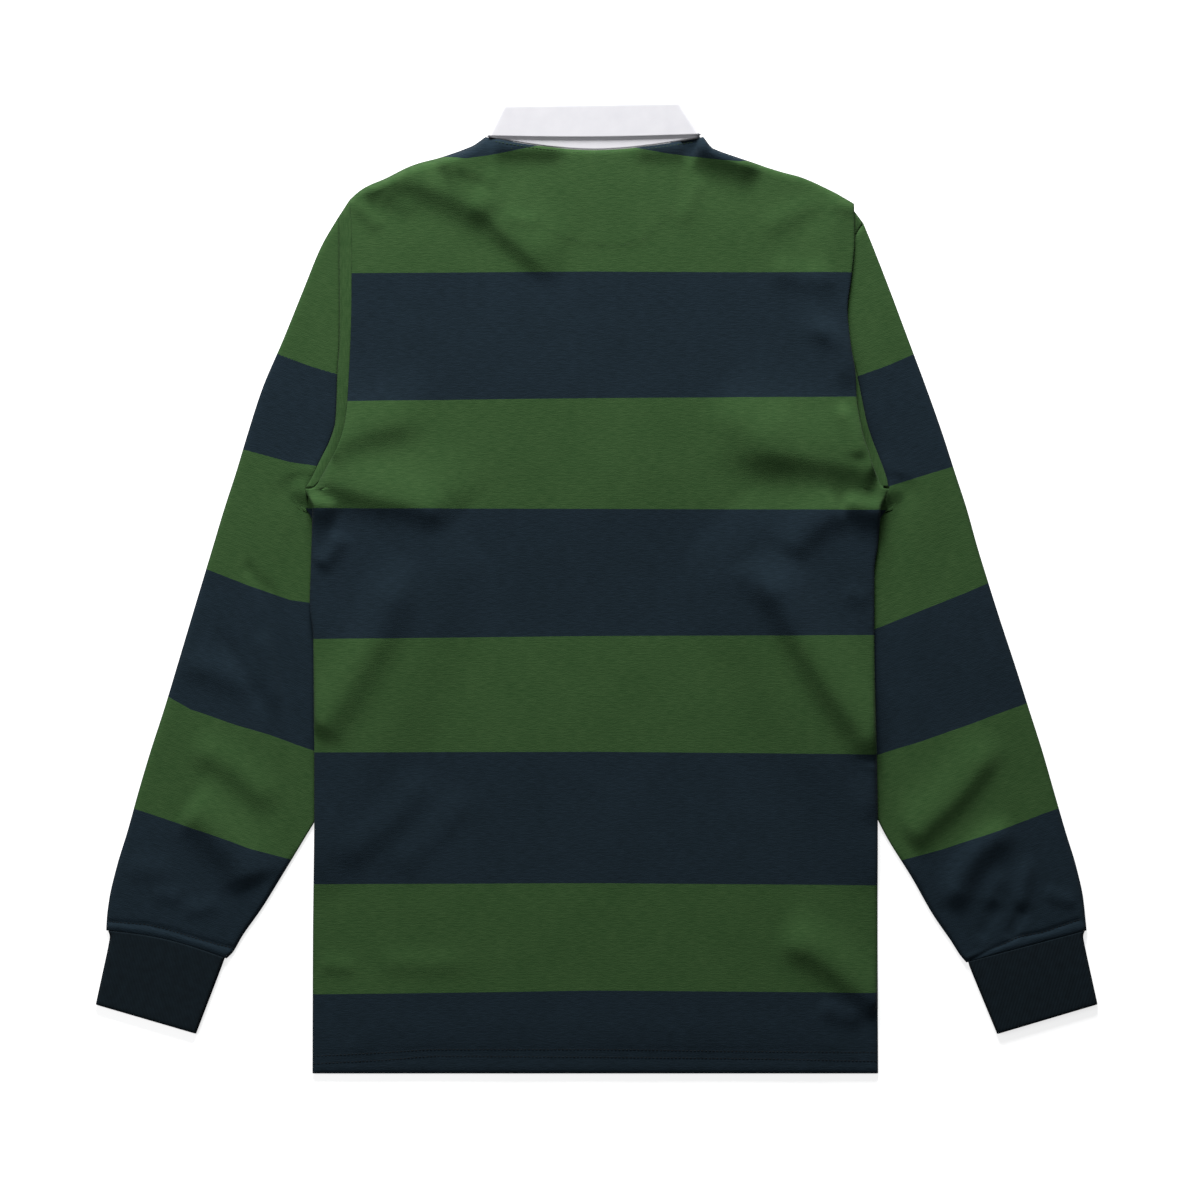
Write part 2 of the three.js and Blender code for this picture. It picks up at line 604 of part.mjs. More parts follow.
// Cuff: a flattened rib tube that narrows just below the seam
function cuff(side) {
  const { neck, end } = CUFF[side];
  const seam = SLEEVE[side].at(-1);
  const rows = [
    { ends: [seam.outer, seam.inner], inset: CUFF_INSET, bow: CUFF_SEAM_BOW[side], shift: SEAM_GAP },
    { ends: neck, inset: 0, bow: CUFF_SEAM_BOW[side] * 0.8, shift: 0 },
    ...[0.33, 0.66, 1].map((t) => ({
      ends: [mixPoint(neck[0], end[0], t), mixPoint(neck[1], end[1], t)],
      inset: 0, bow: CUFF_SEAM_BOW[side] * 0.8 * (1 - t), shift: 0,
    })),
  ];
  const stations = 8;
  const rings = rows.map(({ ends, inset, bow, shift }) => {
    const [from, to] = ends.map((place) => signed(side, place));
    const width = Math.hypot(to[0] - from[0], to[1] - from[1]);
    const path = Array.from({ length: stations + 1 }, (_, k) => {
      const t = mix(inset / width, 1 - inset / width, k / stations);
      const [x, down] = mixPoint(from, to, t);
      return [x, down - bow * Math.sin(Math.PI * t) + shift];
    });
    const depth = (k) => Math.min(k, stations - k) * (width / stations);
    const paths = leftToRight(side, path);
    const upper = paths.map(([x, down], k) => [x, down, RIB * 1.5 + SEAM_GAP + swell(depth(k) * 1.5)]);
    const lower = paths.map(([x, down]) => [x, down, RIB / 2]);
    return foldedRing(upper, lower, RIB);
  });
  return ringWall(rings);
}

// Collar places: share runs from the roll line to the neck seam or the leaf's free edge
const STAND_STATIONS = NECK_CELLS;
const STAND_END = 3;             // half the gap between the collar's front ends
const LEAF_END = 4;
const ROLL_CORNERS = { left: [-75, -25.6], right: [67, -27.9] };
const ROLL_INSET = 2;            // the stand lies this far inside the leaf's side folds
const LEAF_SIDE = { left: [-87.8, -0.6], right: [83.6, -1.8] };

function collarBackRoll(k, inset) {
  const t = k / STAND_STATIONS;
  const [x, down] = mixPoint(ROLL_CORNERS.left, ROLL_CORNERS.right, t);
  return [mix(x, 0, inset / ROLL_HALF_WIDTH), down + inset / 2];
}

// Half of the front roll line, from the side fold to the centre front
function collarFrontRoll(side, t, inset, end) {
  const [x, down] = ROLL_CORNERS[side];
  const start = [mix(x, 0, inset / ROLL_HALF_WIDTH), down + inset / 2];
  const turn = (t * Math.PI) / 2;
  const reach = SIDES[side] * end;
  return [reach + (start[0] - reach) * Math.cos(turn) ** 0.8, mix(start[1], FRONT_ROLL_DOWN, Math.sin(turn) ** 1.3)];
}

function frontPath(half) {
  const perSide = (STAND_STATIONS - 1) / 2;
  const left = Array.from({ length: perSide + 1 }, (_, k) => half('left', k, perSide));
  const right = Array.from({ length: perSide + 1 }, (_, k) => half('right', k, perSide)).reverse();
  return [...left, ...right];
}

const GAP_COLUMN = STAND_STATIONS + 2 + (STAND_STATIONS - 1) / 2;
const openFront = { keep: (i, j) => j !== GAP_COLUMN };

const collarSwell = (place, corners) => swell(Math.min(
  Math.hypot(place[0] - corners[0][0], place[1] - corners[0][1]),
  Math.hypot(place[0] - corners[1][0], place[1] - corners[1][1]),
));

const standUpperHeight = (place, corners) => FLOOR_LAYER + LEAF_RISE + LAYER + LOFT * collarSwell(place, corners);

function collarStand() {
  const seamBack = backNeckPoints().map(([x, down], k) => {
    const edge = k === 0 || k === NECK_CELLS;
    return edge ? [Math.sign(x) * (Math.abs(x) - 2.6), -SEAM_GAP - 0.3] : [x, down - SEAM_GAP];
  });
  const seamFront = frontPath((side, k) => {
    if (k === 0) return side === 'left' ? seamBack[0] : seamBack.at(-1);
    if (k > FRONT_NECK_CELLS) return [SIDES[side] * STAND_END, FRONT_NECK_DROP - 2 * SEAM_GAP];
    const [x, down] = frontNeckPoints(side)[k];
    return [x - SIDES[side] * SEAM_GAP, down - 2 * SEAM_GAP];
  });
  const rollFront = frontPath((side, k, count) => collarFrontRoll(side, k / count, ROLL_INSET, STAND_END));
  const rings = [0, 0.33, 0.66, 1].map((share) => {
    const back = seamBack.map((place, k) => mixPoint(collarBackRoll(k, ROLL_INSET), place, share));
    const corners = [back[0], back.at(-1)];
    const upper = back.map((p) => [...p, standUpperHeight(p, corners)]);
    const lower = seamFront.map((place, k) => mixPoint(rollFront[k], place, share))
      .map((p) => [...p, lowerLayer(...p) + (DRILL - JERSEY) / 2]);
    return foldedRing(upper, lower, DRILL);
  });
  return ringWall(rings, openFront);
}

function collarLeaf() {
  const edgeBack = Array.from({ length: STAND_STATIONS + 1 }, (_, k) => {
    const t = k / STAND_STATIONS;
    const [x, down] = mixPoint(LEAF_SIDE.left, LEAF_SIDE.right, t);
    return [x, down + 1.6 * Math.sin(Math.PI * t)];
  });
  const edgeFront = frontPath((side, k, count) => {
    const t = k / count;
    const point = [SIDES[side] * LEAF_POINT.across, LEAF_POINT.down];
    const [x, down] = mixPoint(LEAF_SIDE[side], point, t);
    return [x + SIDES[side] * 6 * Math.sin(Math.PI * t), down];
  });
  const rollFront = frontPath((side, k, count) => collarFrontRoll(side, k / count, 0, LEAF_END));
  const rings = [0, 0.33, 0.66, 1].map((share) => {
    const back = edgeBack.map((place, k) => mixPoint(collarBackRoll(k, 0), place, share));
    const corners = [back[0], back.at(-1)];
    const upper = back.map((p, k) => {
      const spring = LEAF_LIFT * share * Math.sin((Math.PI * k) / STAND_STATIONS);
      return [...p, standUpperHeight(p, corners) + DRILL + SEAM_GAP + spring];
    });
    const lower = edgeFront.map((place, k) => [...mixPoint(rollFront[k], place, share), DRILL / 2]);
    return foldedRing(upper, lower, DRILL);
  });
  return ringWall(rings, openFront);
}

// Placket strip that fills the slit, and the buttons on its outer side
function placket() {
  const places = frontPlaces();
  const bottom = places[SLIT_ROWS][SLIT_COLUMN][1] - SEAM_GAP;
  const rows = [FRONT_NECK_DROP, mix(FRONT_NECK_DROP, bottom, 0.5), bottom];
  const grid = rows.map((down) => [-1, 0, 1].map((across) => [(across * PLACKET_WIDTH) / 2, down]));
  return panelWall(grid, () => FLOOR_LAYER + PLACKET_RISE, DRILL);
}

function button(down) {
  const radius = BUTTON_DIAMETER / 2;
  const profile = [[0, 0], [radius - 0.6, 0], [radius, 0.6], [radius, 1.6], [radius - 0.6, BUTTON_THICKNESS],
    [radius - 1.6, BUTTON_THICKNESS], [radius - 2.2, BUTTON_THICKNESS - 0.5], [0, BUTTON_THICKNESS - 0.5]];
  const geometry = new THREE.LatheGeometry(profile.map(([r, h]) => new THREE.Vector2(r, h)), 16);
  geometry.rotateX(Math.PI / 2);
  geometry.translate(0, SIDE_NECK_Y - down, 0);
  return geometry;
}

const shirt = new THREE.Group();

function addPiece(name, geometry, color, roughness) {
  const material = new THREE.MeshStandardMaterial({ color, roughness, metalness: 0 });
  const mesh = new THREE.Mesh(geometry, material);
  mesh.name = name;
  shirt.add(mesh);
}

addPiece('back', backPanel(), GREEN, 0.9);
addPiece('front', frontPanel(), GREEN, 0.9);
Object.keys(SIDES).forEach((side) => {
  addPiece(`sleeve_${side}`, sleeve(side), GREEN, 0.9);
  addPiece(`armhole_band_${side}`, armholeBand(side), GREEN, 0.9);
  addPiece(`cuff_${side}`, cuff(side), NAVY, 0.9);
});
addPiece('collar_stand', collarStand(), WHITE, 0.8);
addPiece('collar_leaf', collarLeaf(), WHITE, 0.8);
addPiece('placket', placket(), WHITE, 0.8);
BUTTON_DOWN.forEach((down, k) => addPiece(`button_${k + 1}`, button(down), WHITE, 0.5));

export default shirt;
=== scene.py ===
"""A long-sleeved rugby shirt laid face down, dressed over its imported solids.

The cloth pieces are thin shells that lie as the solids do, with the finer creases, seams and sewing
that the solids leave out. Places on the shirt are in millimetres: a distance across from the centre
back, positive to the right, and a distance down from the side neck points. Meshes are in metres.
"""

import json
import logging
import math
from dataclasses import dataclass, field
from enum import Enum
from typing import Callable, Sequence

import bpy
import numpy as np
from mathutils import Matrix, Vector

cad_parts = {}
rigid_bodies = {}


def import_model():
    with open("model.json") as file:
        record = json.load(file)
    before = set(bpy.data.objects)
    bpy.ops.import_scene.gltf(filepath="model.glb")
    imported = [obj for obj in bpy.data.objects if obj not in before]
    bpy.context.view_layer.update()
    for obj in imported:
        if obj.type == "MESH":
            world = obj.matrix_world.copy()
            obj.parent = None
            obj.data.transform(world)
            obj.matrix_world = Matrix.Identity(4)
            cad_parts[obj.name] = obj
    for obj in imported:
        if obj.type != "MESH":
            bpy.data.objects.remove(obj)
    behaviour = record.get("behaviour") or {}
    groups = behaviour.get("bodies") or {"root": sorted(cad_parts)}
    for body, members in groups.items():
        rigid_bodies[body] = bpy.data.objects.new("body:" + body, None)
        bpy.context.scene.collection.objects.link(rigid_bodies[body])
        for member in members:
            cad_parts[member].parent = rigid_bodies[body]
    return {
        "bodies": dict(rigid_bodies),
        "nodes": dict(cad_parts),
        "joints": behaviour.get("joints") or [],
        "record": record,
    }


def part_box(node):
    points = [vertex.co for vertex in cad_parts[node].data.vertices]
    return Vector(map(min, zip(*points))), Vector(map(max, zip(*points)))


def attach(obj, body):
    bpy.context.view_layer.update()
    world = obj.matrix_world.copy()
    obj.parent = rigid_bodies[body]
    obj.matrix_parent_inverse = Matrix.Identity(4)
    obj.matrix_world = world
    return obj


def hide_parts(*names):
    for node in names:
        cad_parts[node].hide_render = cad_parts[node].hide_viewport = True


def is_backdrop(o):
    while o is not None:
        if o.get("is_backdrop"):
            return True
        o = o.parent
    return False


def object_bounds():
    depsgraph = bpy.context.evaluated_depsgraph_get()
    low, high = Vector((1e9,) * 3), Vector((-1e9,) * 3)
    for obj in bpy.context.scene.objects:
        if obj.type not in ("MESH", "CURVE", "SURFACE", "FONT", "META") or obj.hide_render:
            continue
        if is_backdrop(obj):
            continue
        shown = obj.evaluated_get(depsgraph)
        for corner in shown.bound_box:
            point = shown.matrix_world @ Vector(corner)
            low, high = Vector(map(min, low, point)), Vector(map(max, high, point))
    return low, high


LOG = logging.getLogger("rugby_shirt")

MM = 0.001
SIDE_NECK_Y = 360.0     # the side neck points lie this far up the frame's Y axis
BODY_LENGTH = 748.0     # side neck point to hem
ARMPIT_DOWN = 281.0
SHOULDER_DOWN = 50.0    # mean drop of the shoulder ends
NECK_HALF_WIDTH = 86.9
NECK_CENTRE = -1.8
BACK_NECK_DROP = 10.5
FRONT_NECK_DROP = 78.0

CLOTH = 1.2             # room that the solids give each layer of jersey
JERSEY = 1.0            # thickness of the jersey itself
DRILL = 1.2
RIB = 1.5
SEAM_GAP = 0.3
SEAM_SLIT = 0.08
ARMPIT_STEP = 0.4     # drop over which a panel's edge steps out below the band
LAYER = CLOTH + SEAM_GAP
FLOOR_LAYER = CLOTH / 2
LOFT = 2.7              # how far the upper layer stands off in the middle
LOFT_REACH = 7.0        # distance from a fold over which it first rises
LOFT_EDGE = 0.45        # share of it that it rises there

PLACKET_WIDTH = 30.0
PLACKET_END = 247.0

Place = tuple[float, float]
Floats = np.ndarray


class Side(Enum):
    """The two sides of the shirt as seen from the back, with the sign of the distance across."""

    LEFT = -1
    RIGHT = 1


class Edge(Enum):
    """The lines that run round an armhole."""

    PANEL = "panel"     # visible edge of the back panel
    BAND = "band"       # seam of body and band
    SLEEVE = "sleeve"   # seam of band and sleeve


@dataclass(frozen=True)
class Crease:
    """A ridge or trough along a path, whose two flanks may differ in steepness."""

    path: tuple[Place, ...]
    rise: float
    left: float         # reach of the flank on the left hand of someone who follows the path
    right: float        # reach of the flank on the right hand
    hold: tuple[float, float] = (0.25, 0.25)    # shares of its length over which it fades in and out

    def line(self) -> Floats:
        """Points on a smooth curve through the path.

        Returns:
            One row for each point, across and down.
        """
        keys = np.arange(len(self.path))
        return steady_curve(keys, self.path, np.linspace(0, keys[-1], 5 * keys[-1] + 1))

    def height(self, x: Floats, down: Floats) -> Floats:
        """How far the crease lifts the cloth.

        Args:
            x: distances across.
            down: distances down.

        Returns:
            Height in millimetres, negative in a trough.
        """
        distance, along, side = nearest(self.line(), x, down)
        spread = np.where(side > 0, self.right, self.left)
        fade = smooth(0, self.hold[0], along) * (1 - smooth(1 - self.hold[1], 1, along))
        return self.rise * np.exp(-((distance / spread) ** 2)) * fade


@dataclass(frozen=True)
class Section:
    """A section of a sleeve from its outer fold to its underarm fold."""

    outer: Place
    inner: Place
    turn: Place | None = None
    hook: float = 0.0


SHOULDER = {
    Side.LEFT: [
        (88.7, 0.0), (98.4, 6.9), (110.3, 11.7), (124.1, 16.3),
        (144.5, 21.8), (168.5, 33.0), (188.5, 42.2), (197.3, 49.8),
    ],
    Side.RIGHT: [
        (85.1, 0.0), (91.8, 8.7), (100.1, 12.2), (118.4, 18.4),
        (148.8, 28.2), (161.9, 31.6), (187.3, 42.9), (205.4, 53.4),
    ],
}

ARMHOLE_TOP = {
    Side.LEFT: {Edge.PANEL: (197.3, 49.8), Edge.BAND: (197.3, 49.8), Edge.SLEEVE: (206.5, 63.8)},
    Side.RIGHT: {Edge.PANEL: (205.4, 53.4), Edge.BAND: (198.7, 49.4), Edge.SLEEVE: (213.1, 68.2)},
}

# Down, then the distance across of the panel's edge, the band's seam and the sleeve's seam
ARMHOLE = {
    Side.LEFT: [
        (82, 195.7, 195.7, 205.9), (110, 195.7, 195.7, 205.7), (138, 195.9, 195.9, 205.4),
        (166, 196.9, 196.9, 205.6), (190, 197.9, 197.9, 207.2), (210, 198.9, 198.9, 207.7),
        (228, 200.9, 200.9, 208.8), (242, 204.5, 204.5, 212.9), (254, 209.7, 209.7, 218.7),
        (264, 215.3, 215.3, 223.7), (273, 220.5, 220.5, 227.8), (281, 227.7, 227.7, 232.9),
    ],
    Side.RIGHT: [
        (82, 205.8, 196.5, 205.5), (110, 203.5, 192.9, 201.9), (138, 200.2, 189.3, 198.3),
        (166, 202.7, 192.1, 201.1), (190, 206.5, 198.9, 207.9), (210, 207.5, 203.1, 212.1),
        (228, 210.2, 206.9, 215.9), (242, 213.4, 211.3, 220.3), (254, 217.4, 216.0, 225.0),
        (264, 220.5, 219.9, 228.8), (273, 224.6, 223.8, 231.8), (281, 229.4, 227.2, 233.4),
    ],
}

# Down and distance across of the side folds below the armpits
SIDE_SEAM = {
    Side.LEFT: [
        (296, 226.9), (347, 228.1), (372, 228.9), (402, 226.1), (546, 225.3), (634, 226.5), (748, 226.9),
    ],
    Side.RIGHT: [
        (296, 227.0), (325, 224.6), (347, 221.6), (392, 221.6), (546, 224.3), (634, 224.3), (748, 224.7),
    ],
}

SLEEVE = {
    Side.LEFT: [
        Section((219.7, 86.6), (232.1, 284.2), hook=4.5),
        Section((234.9, 123.4), (231.4, 288.2), hook=8),
        Section((250.5, 161.8), (230.5, 292.2), hook=10),
        Section((267.0, 200.2), (229.6, 296.2), hook=11),
        Section((278.8, 236.2), (228.2, 301.0), hook=8),
        Section((288.5, 268.2), (189.3, 312.2), turn=(229.3, 305.8)),
        Section((298.1, 297.8), (147.7, 325.8), turn=(230.9, 321.8)),
        Section((306.5, 325.8), (138.1, 347.4), turn=(232.5, 342.6)),
        Section((314.9, 353.8), (145.3, 377.8), turn=(234.9, 368.2)),
        Section((324.5, 385.8), (157.3, 411.4), turn=(237.3, 401.8)),
        Section((335.0, 421.0), (173.3, 449.8), turn=(238.9, 440.2)),
        Section((345.6, 456.2), (194.1, 488.2), turn=(245.3, 477.8)),
        Section((357.0, 491.4), (213.3, 526.6), turn=(259.7, 515.4)),
        Section((366.5, 523.4), (232.5, 558.6)),
        Section((374.9, 553.8), (250.9, 589.0)),
        Section((383.7, 582.6), (267.7, 616.2)),
        Section((389.7, 608.2), (282.9, 637.8)),
        Section((391.7, 624.2), (290.9, 651.4)),
        Section((392.2, 633.8), (295.7, 656.2)),
    ],
    Side.RIGHT: [
        Section((221.1, 88.2), (232.7, 284.2), hook=4.5),
        Section((234.7, 123.4), (231.9, 288.2), hook=8),
        Section((249.1, 161.8), (231.0, 292.2), hook=10),
        Section((263.5, 200.2), (229.9, 296.2), hook=11),
        Section((276.3, 236.2), (228.7, 301.0), hook=8),
        Section((286.7, 268.2), (186.7, 312.2), turn=(228.5, 307.4)),
        Section((296.3, 297.8), (138.7, 328.2), turn=(227.5, 323.4)),
        Section((304.3, 326.6), (116.3, 347.4), turn=(226.5, 344.2)),
        Section((313.1, 355.4), (127.5, 374.6), turn=(226.5, 369.8)),
        Section((322.7, 385.8), (148.3, 405.8), turn=(228.5, 403.4)),
        Section((334.3, 421.0), (167.5, 443.4), turn=(233.0, 441.8)),
        Section((345.5, 456.2), (191.5, 483.4), turn=(244.0, 480.2)),
        Section((356.7, 491.4), (213.9, 523.4), turn=(260.0, 518.6)),
        Section((365.9, 523.4), (231.5, 558.6)),
        Section((374.7, 553.8), (252.3, 592.2)),
        Section((383.5, 582.6), (268.7, 621.0)),
        Section((388.9, 606.6), (283.5, 642.6)),
        Section((390.7, 622.6), (290.7, 653.8)),
        Section((391.8, 633.8), (295.5, 659.4)),
    ],
}
TUCKED_SECTIONS = slice(4, 14)
CUFF_SEAM_BOW = {Side.LEFT: 4.0, Side.RIGHT: 0.0}

# Outer and underarm corner just below the cuff's seam, then at its open end
CUFF = {
    Side.LEFT: [((389.3, 639.4), (299.4, 661.8)), ((400.5, 693.0), (320.2, 716.4))],
    Side.RIGHT: [((389.1, 639.0), (298.1, 662.6)), ((400.5, 692.8), (320.2, 716.6))],
}

# Lower edges of the hoops, from the neck to the hem, as places across and down
BODY_HOOPS = [
    [(-240, -40), (-124, 16), (-105, 17.8), (-86, 15), (-65, 10.6), (-41, 6), (0, -30), (27, 8),
     (55, 13), (95, 18), (115, 20.2), (121, 19), (240, -40)],
    [(-228, 109), (-60, 107.8), (60, 107.8), (228, 108.2)],
    [(-228, 211.4), (0, 208.6), (228, 207.4)],
    [(-228, 296.2), (0, 297), (228, 297.8)],
    [(-228, 401), (0, 398.6), (228, 397.8)],
    [(-228, 491.4), (0, 491), (228, 493)],
    [(-228, 597), (0, 596.2), (228, 597.8)],
    [(-228, 685), (0, 681.8), (228, 683.4)],
    [(-228, 790), (228, 790)],
]
SLEEVE_HOOPS = {
    Side.LEFT: [
        [(-254.9, 173.8), (-229.3, 183.4), (-207.7, 189.8)],
        [(-280.5, 249.8), (-245.3, 259.4), (-222.9, 262.6)],
        [(-310.1, 345.8), (-277.3, 358.6), (-245.3, 369.8), (-227.7, 372.2)],
        [(-340.5, 448.2), (-325.3, 457), (-293.3, 468.2), (-261.3, 477.8), (-226.1, 490.6)],
        [(-370.9, 536.2), (-341.3, 545.8), (-309.3, 556.2), (-277.3, 568.2), (-244.5, 577)],
        [(-400, 660), (-280, 690)],
    ],
    Side.RIGHT: [
        [(208.3, 191.4), (234.7, 181.8), (253.1, 173.8)],
        [(232.3, 279.4), (262.7, 269.8), (284.3, 263.4)],
        [(225.1, 392.2), (262.7, 377), (294.7, 364.2), (313.1, 356.2)],
        [(224.3, 493.8), (262.7, 481.8), (294.7, 470.6), (344.3, 452.2)],
        [(244.3, 577.8), (278.7, 568.2), (310.7, 557.8), (342.7, 545.8), (369.1, 536.2)],
        [(280, 690), (400, 660)],
    ],
}
SLEEVE_GRAIN = 0.33     # how far the sleeves' hoops drop for each millimetre towards the body

BACK_CREASES = [
    # left shoulder
    Crease(((-192, 38), (-170, 33), (-148, 34), (-128, 40), (-110, 48), (-94, 56), (-82, 66)),
           5.7, 25, 13, (0.08, 0.22)),
    Crease(((-104, 50), (-92, 57), (-81, 67), (-73, 76), (-63, 84), (-50, 96), (-37, 106), (-24, 113)),
           4.7, 25, 9, (0.25, 0.35)),
    Crease(((-172, 44), (-158, 52), (-140, 58)), 1.2, 8, 8, (0.2, 0.3)),
    Crease(((-132, 20), (-114, 13), (-98, 11), (-80, 12), (-56, 14)), 6.4, 9, 19, (0.15, 0.5)),
    Crease(((-84, 5), (-62, 7), (-40, 7), (-20, 8)), 4.1, 8, 9, (0.1, 0.3)),
    Crease(((-120, 20), (-104, 27), (-88, 33), (-76, 40)), 1.4, 9, 5),
    Crease(((-74, 65), (-58, 66), (-44, 70)), 0.9, 5, 5),
    Crease(((-196, 52), (-184, 62), (-172, 76)), 1.2, 6, 5),
    # right shoulder
    Crease(((80, 4), (96, 10), (114, 15), (136, 24)), 8.4, 9, 14, (0.1, 0.25)),
    Crease(((26, 8), (48, 9), (70, 8)), 2.9, 8, 9, (0.3, 0.1)),
    Crease(((84, 30), (76, 48), (66, 74)), 1, 7, 7),
    Crease(((184, 54), (196, 56), (208, 60)), 1, 5, 4),
    Crease(((186, 43), (198, 46), (207, 51)), 1, 5, 4),
    Crease(((128, 76), (148, 66), (168, 56), (188, 47)), 1.2, 9, 9),
    Crease(((136, 104), (154, 110), (176, 114), (194, 106)), 1.9, 12, 10),
    # beside the right armhole
    Crease(((158, 152), (176, 154), (188, 160), (196, 172), (199, 190), (203, 206)), 3.2, 10, 9, (0.3, 0.3)),
    Crease(((192, 212), (202, 226), (208, 244), (210, 258)), 3.1, 5, 8, (0.25, 0.2)),
    # right chest
    Crease(((88, 206), (108, 221), (128, 236), (146, 247), (162, 252)), 3.4, 30, 18, (0.35, 0.5)),
    Crease(((80, 244), (104, 248), (128, 250), (152, 252), (176, 255), (200, 259), (226, 266)), 7.8, 40, 16,
           (0.55, 0.05)),
    Crease(((194, 292), (210, 296), (232, 300)), 4.9, 8, 11, (0.3, 0.02)),
    Crease(((150, 338), (164, 320), (180, 306), (198, 296)), 3.6, 16, 12, (0.25, 0.15)),
    Crease(((198, 362), (207, 366), (219, 370)), 1, 7, 8),
    # left chest
    Crease(((-218, 250), (-198, 239), (-178, 232), (-156, 228), (-128, 230)), 4.5, 26, 14, (0.08, 0.35)),
    Crease(((-222, 272), (-198, 279), (-174, 286), (-150, 291), (-130, 298), (-114, 312)), 6.0, 32, 13,
           (0.06, 0.25)),
    Crease(((-234, 292), (-220, 294), (-204, 299)), 5.9, 6, 14, (0.02, 0.35)),
    Crease(((-224, 345), (-212, 332), (-203, 314)), 2.9, 7, 7),
    # over the tucked sleeves
    Crease(((-226, 480), (-205, 449), (-187, 419), (-172, 394), (-161, 366), (-150, 332)), 5.1, 20, 15,
           (0.08, 0.25)),
    Crease(((122, 330), (138, 354), (151, 378), (163, 400), (176, 421), (188, 440), (203, 461), (216, 482),
            (223, 508)), 8.4, 24, 13, (0.2, 0.15)),
    Crease(((112, 338), (118, 352), (134, 362), (150, 366)), 1.4, 12, 12, (0.3, 0.3)),
    Crease(((221, 498), (219, 525), (222, 554)), 2.6, 6, 10, (0.1, 0.4)),
    # lower back
    Crease(((-208, 584), (-191, 568), (-164, 546), (-149, 528), (-138, 500)), 2.2, 14, 12),
    Crease(((-166, 588), (-146, 572), (-118, 544), (-104, 518)), 1.3, 12, 11),
    Crease(((140, 640), (162, 646), (182, 657), (200, 672), (228, 694)), 5.4, 20, 12, (0.3, 0.04)),
    Crease(((176, 694), (194, 700), (214, 706)), 1.8, 9, 9),
    Crease(((-222, 660), (-208, 663), (-190, 664)), 1.2, 8, 6),
    Crease(((-180, 658), (-140, 661), (-96, 660)), 1, 10, 9),
]
SLEEVE_CREASES = {
    Side.LEFT: [
        Crease(((-264, 350), (-257, 380), (-251, 410), (-246, 440), (-241, 472)), -4.6, 4, 5),
        Crease(((-269, 392), (-262, 424), (-257, 462)), 1.9, 7, 7),
        Crease(((-248, 312), (-239, 340), (-231, 366)), -1.3, 5, 5),
        Crease(((-284, 338), (-270, 356), (-257, 375)), -1.2, 5, 5),
        Crease(((-306, 390), (-291, 414), (-276, 438), (-261, 464)), -1.4, 6, 6),
        Crease(((-344, 420), (-318, 424), (-292, 433), (-270, 450)), 2.2, 12, 10, (0.4, 0.3)),
        Crease(((-330, 486), (-302, 498), (-278, 516), (-256, 542)), 2.9, 14, 10),
        Crease(((-332, 536), (-316, 546), (-300, 562), (-286, 580), (-277, 602)), 5.8, 22, 15, (0.2, 0.15)),
        Crease(((-380, 578), (-358, 586), (-332, 588)), 1.3, 9, 10, (0.35, 0.35)),
        Crease(((-356, 604), (-344, 606), (-332, 610)), 1.2, 6, 6),
        Crease(((-332, 618), (-316, 616), (-300, 611)), 1.2, 6, 7),
    ],
    Side.RIGHT: [
        Crease(((246, 566), (268, 545), (286, 528), (299, 512), (312, 495), (328, 478)), 4.9, 20, 10, (0.1, 0.3)),
        Crease(((284, 620), (289, 597), (300, 577), (318, 560), (338, 549)), 5.1, 10, 12, (0.2, 0.25)),
        Crease(((312, 620), (317, 601), (328, 584)), 1.9, 7, 8, (0.35, 0.35)),
        Crease(((339, 620), (341, 598), (346, 572)), 2.6, 6, 7, (0.3, 0.35)),
        Crease(((356, 602), (370, 608), (386, 612)), 1.4, 6, 6),
        Crease(((329, 642), (336, 628), (343, 614)), -1.9, 4, 4),
        Crease(((305, 642), (313, 627), (322, 610)), -1.3, 5, 5),
    ],
}

# Sewing lines as places across and down
HALF_MOON = [
    (-67.7, 9.8), (-63.7, 25.8), (-58.1, 45.8), (-48.5, 63.4), (-34.1, 77), (-10.9, 84.2), (12.3, 87),
    (34.7, 82.6), (52.3, 67.4), (62.7, 49.8), (64.3, 16.2),
]
HEM_SEWING = [
    [(-225.3, 734.3), (-168.5, 731.4), (-122.9, 729), (-5.3, 729), (121.1, 730.6), (222.7, 731.4)],
    [(-225.3, 740.4), (-168.5, 737.4), (-122.9, 734.3), (-5.3, 735), (121.1, 736.4), (222.7, 738.4)],
]
CUFF_SEWING = {
    Side.LEFT: [(-389.3, 627), (-359.4, 629.3), (-336.5, 635), (-313.3, 642.3), (-290.5, 648)],
    Side.RIGHT: [(385.4, 625.6), (371.5, 630.1), (357.4, 635.1), (338.2, 639), (325.5, 644.7), (312.7, 650.6),
                 (298.7, 657.4)],
}

ROLL_CORNERS = {Side.LEFT: (-75.0, -25.6), Side.RIGHT: (67.0, -27.9)}
ROLL_HALF_WIDTH = 86.0
ROLL_INSET = 2.0
FRONT_ROLL_DOWN = 52.0
LEAF_POINT = (42.0, 112.0)
LEAF_SIDE = {Side.LEFT: (-87.8, -0.6), Side.RIGHT: (83.6, -1.8)}
LEAF_RISE = 1.7
LEAF_LIFT = 0.1
STAND_END = 3.0
LEAF_END = 4.0

TUCK_RISE = 3.4
TUCK_MARGIN = 12.0
PLACKET_RISE = 2.6
LAP_RISE = 2.8
BAND_CROWN = {Side.LEFT: 0.5, Side.RIGHT: 0.0}
CUFF_INSET = 1.6


def smooth(start: float, end: float, value: Floats | float) -> Floats:
    """Eased step from 0 at start to 1 at end.

    Args:
        start: value at which the step begins.
        end: value at which it is complete.
        value: one or many values.

    Returns:
        The eased share for each value.
    """
    t = np.clip((np.asarray(value, float) - start) / (end - start), 0, 1)
    return t * t * (3 - 2 * t)


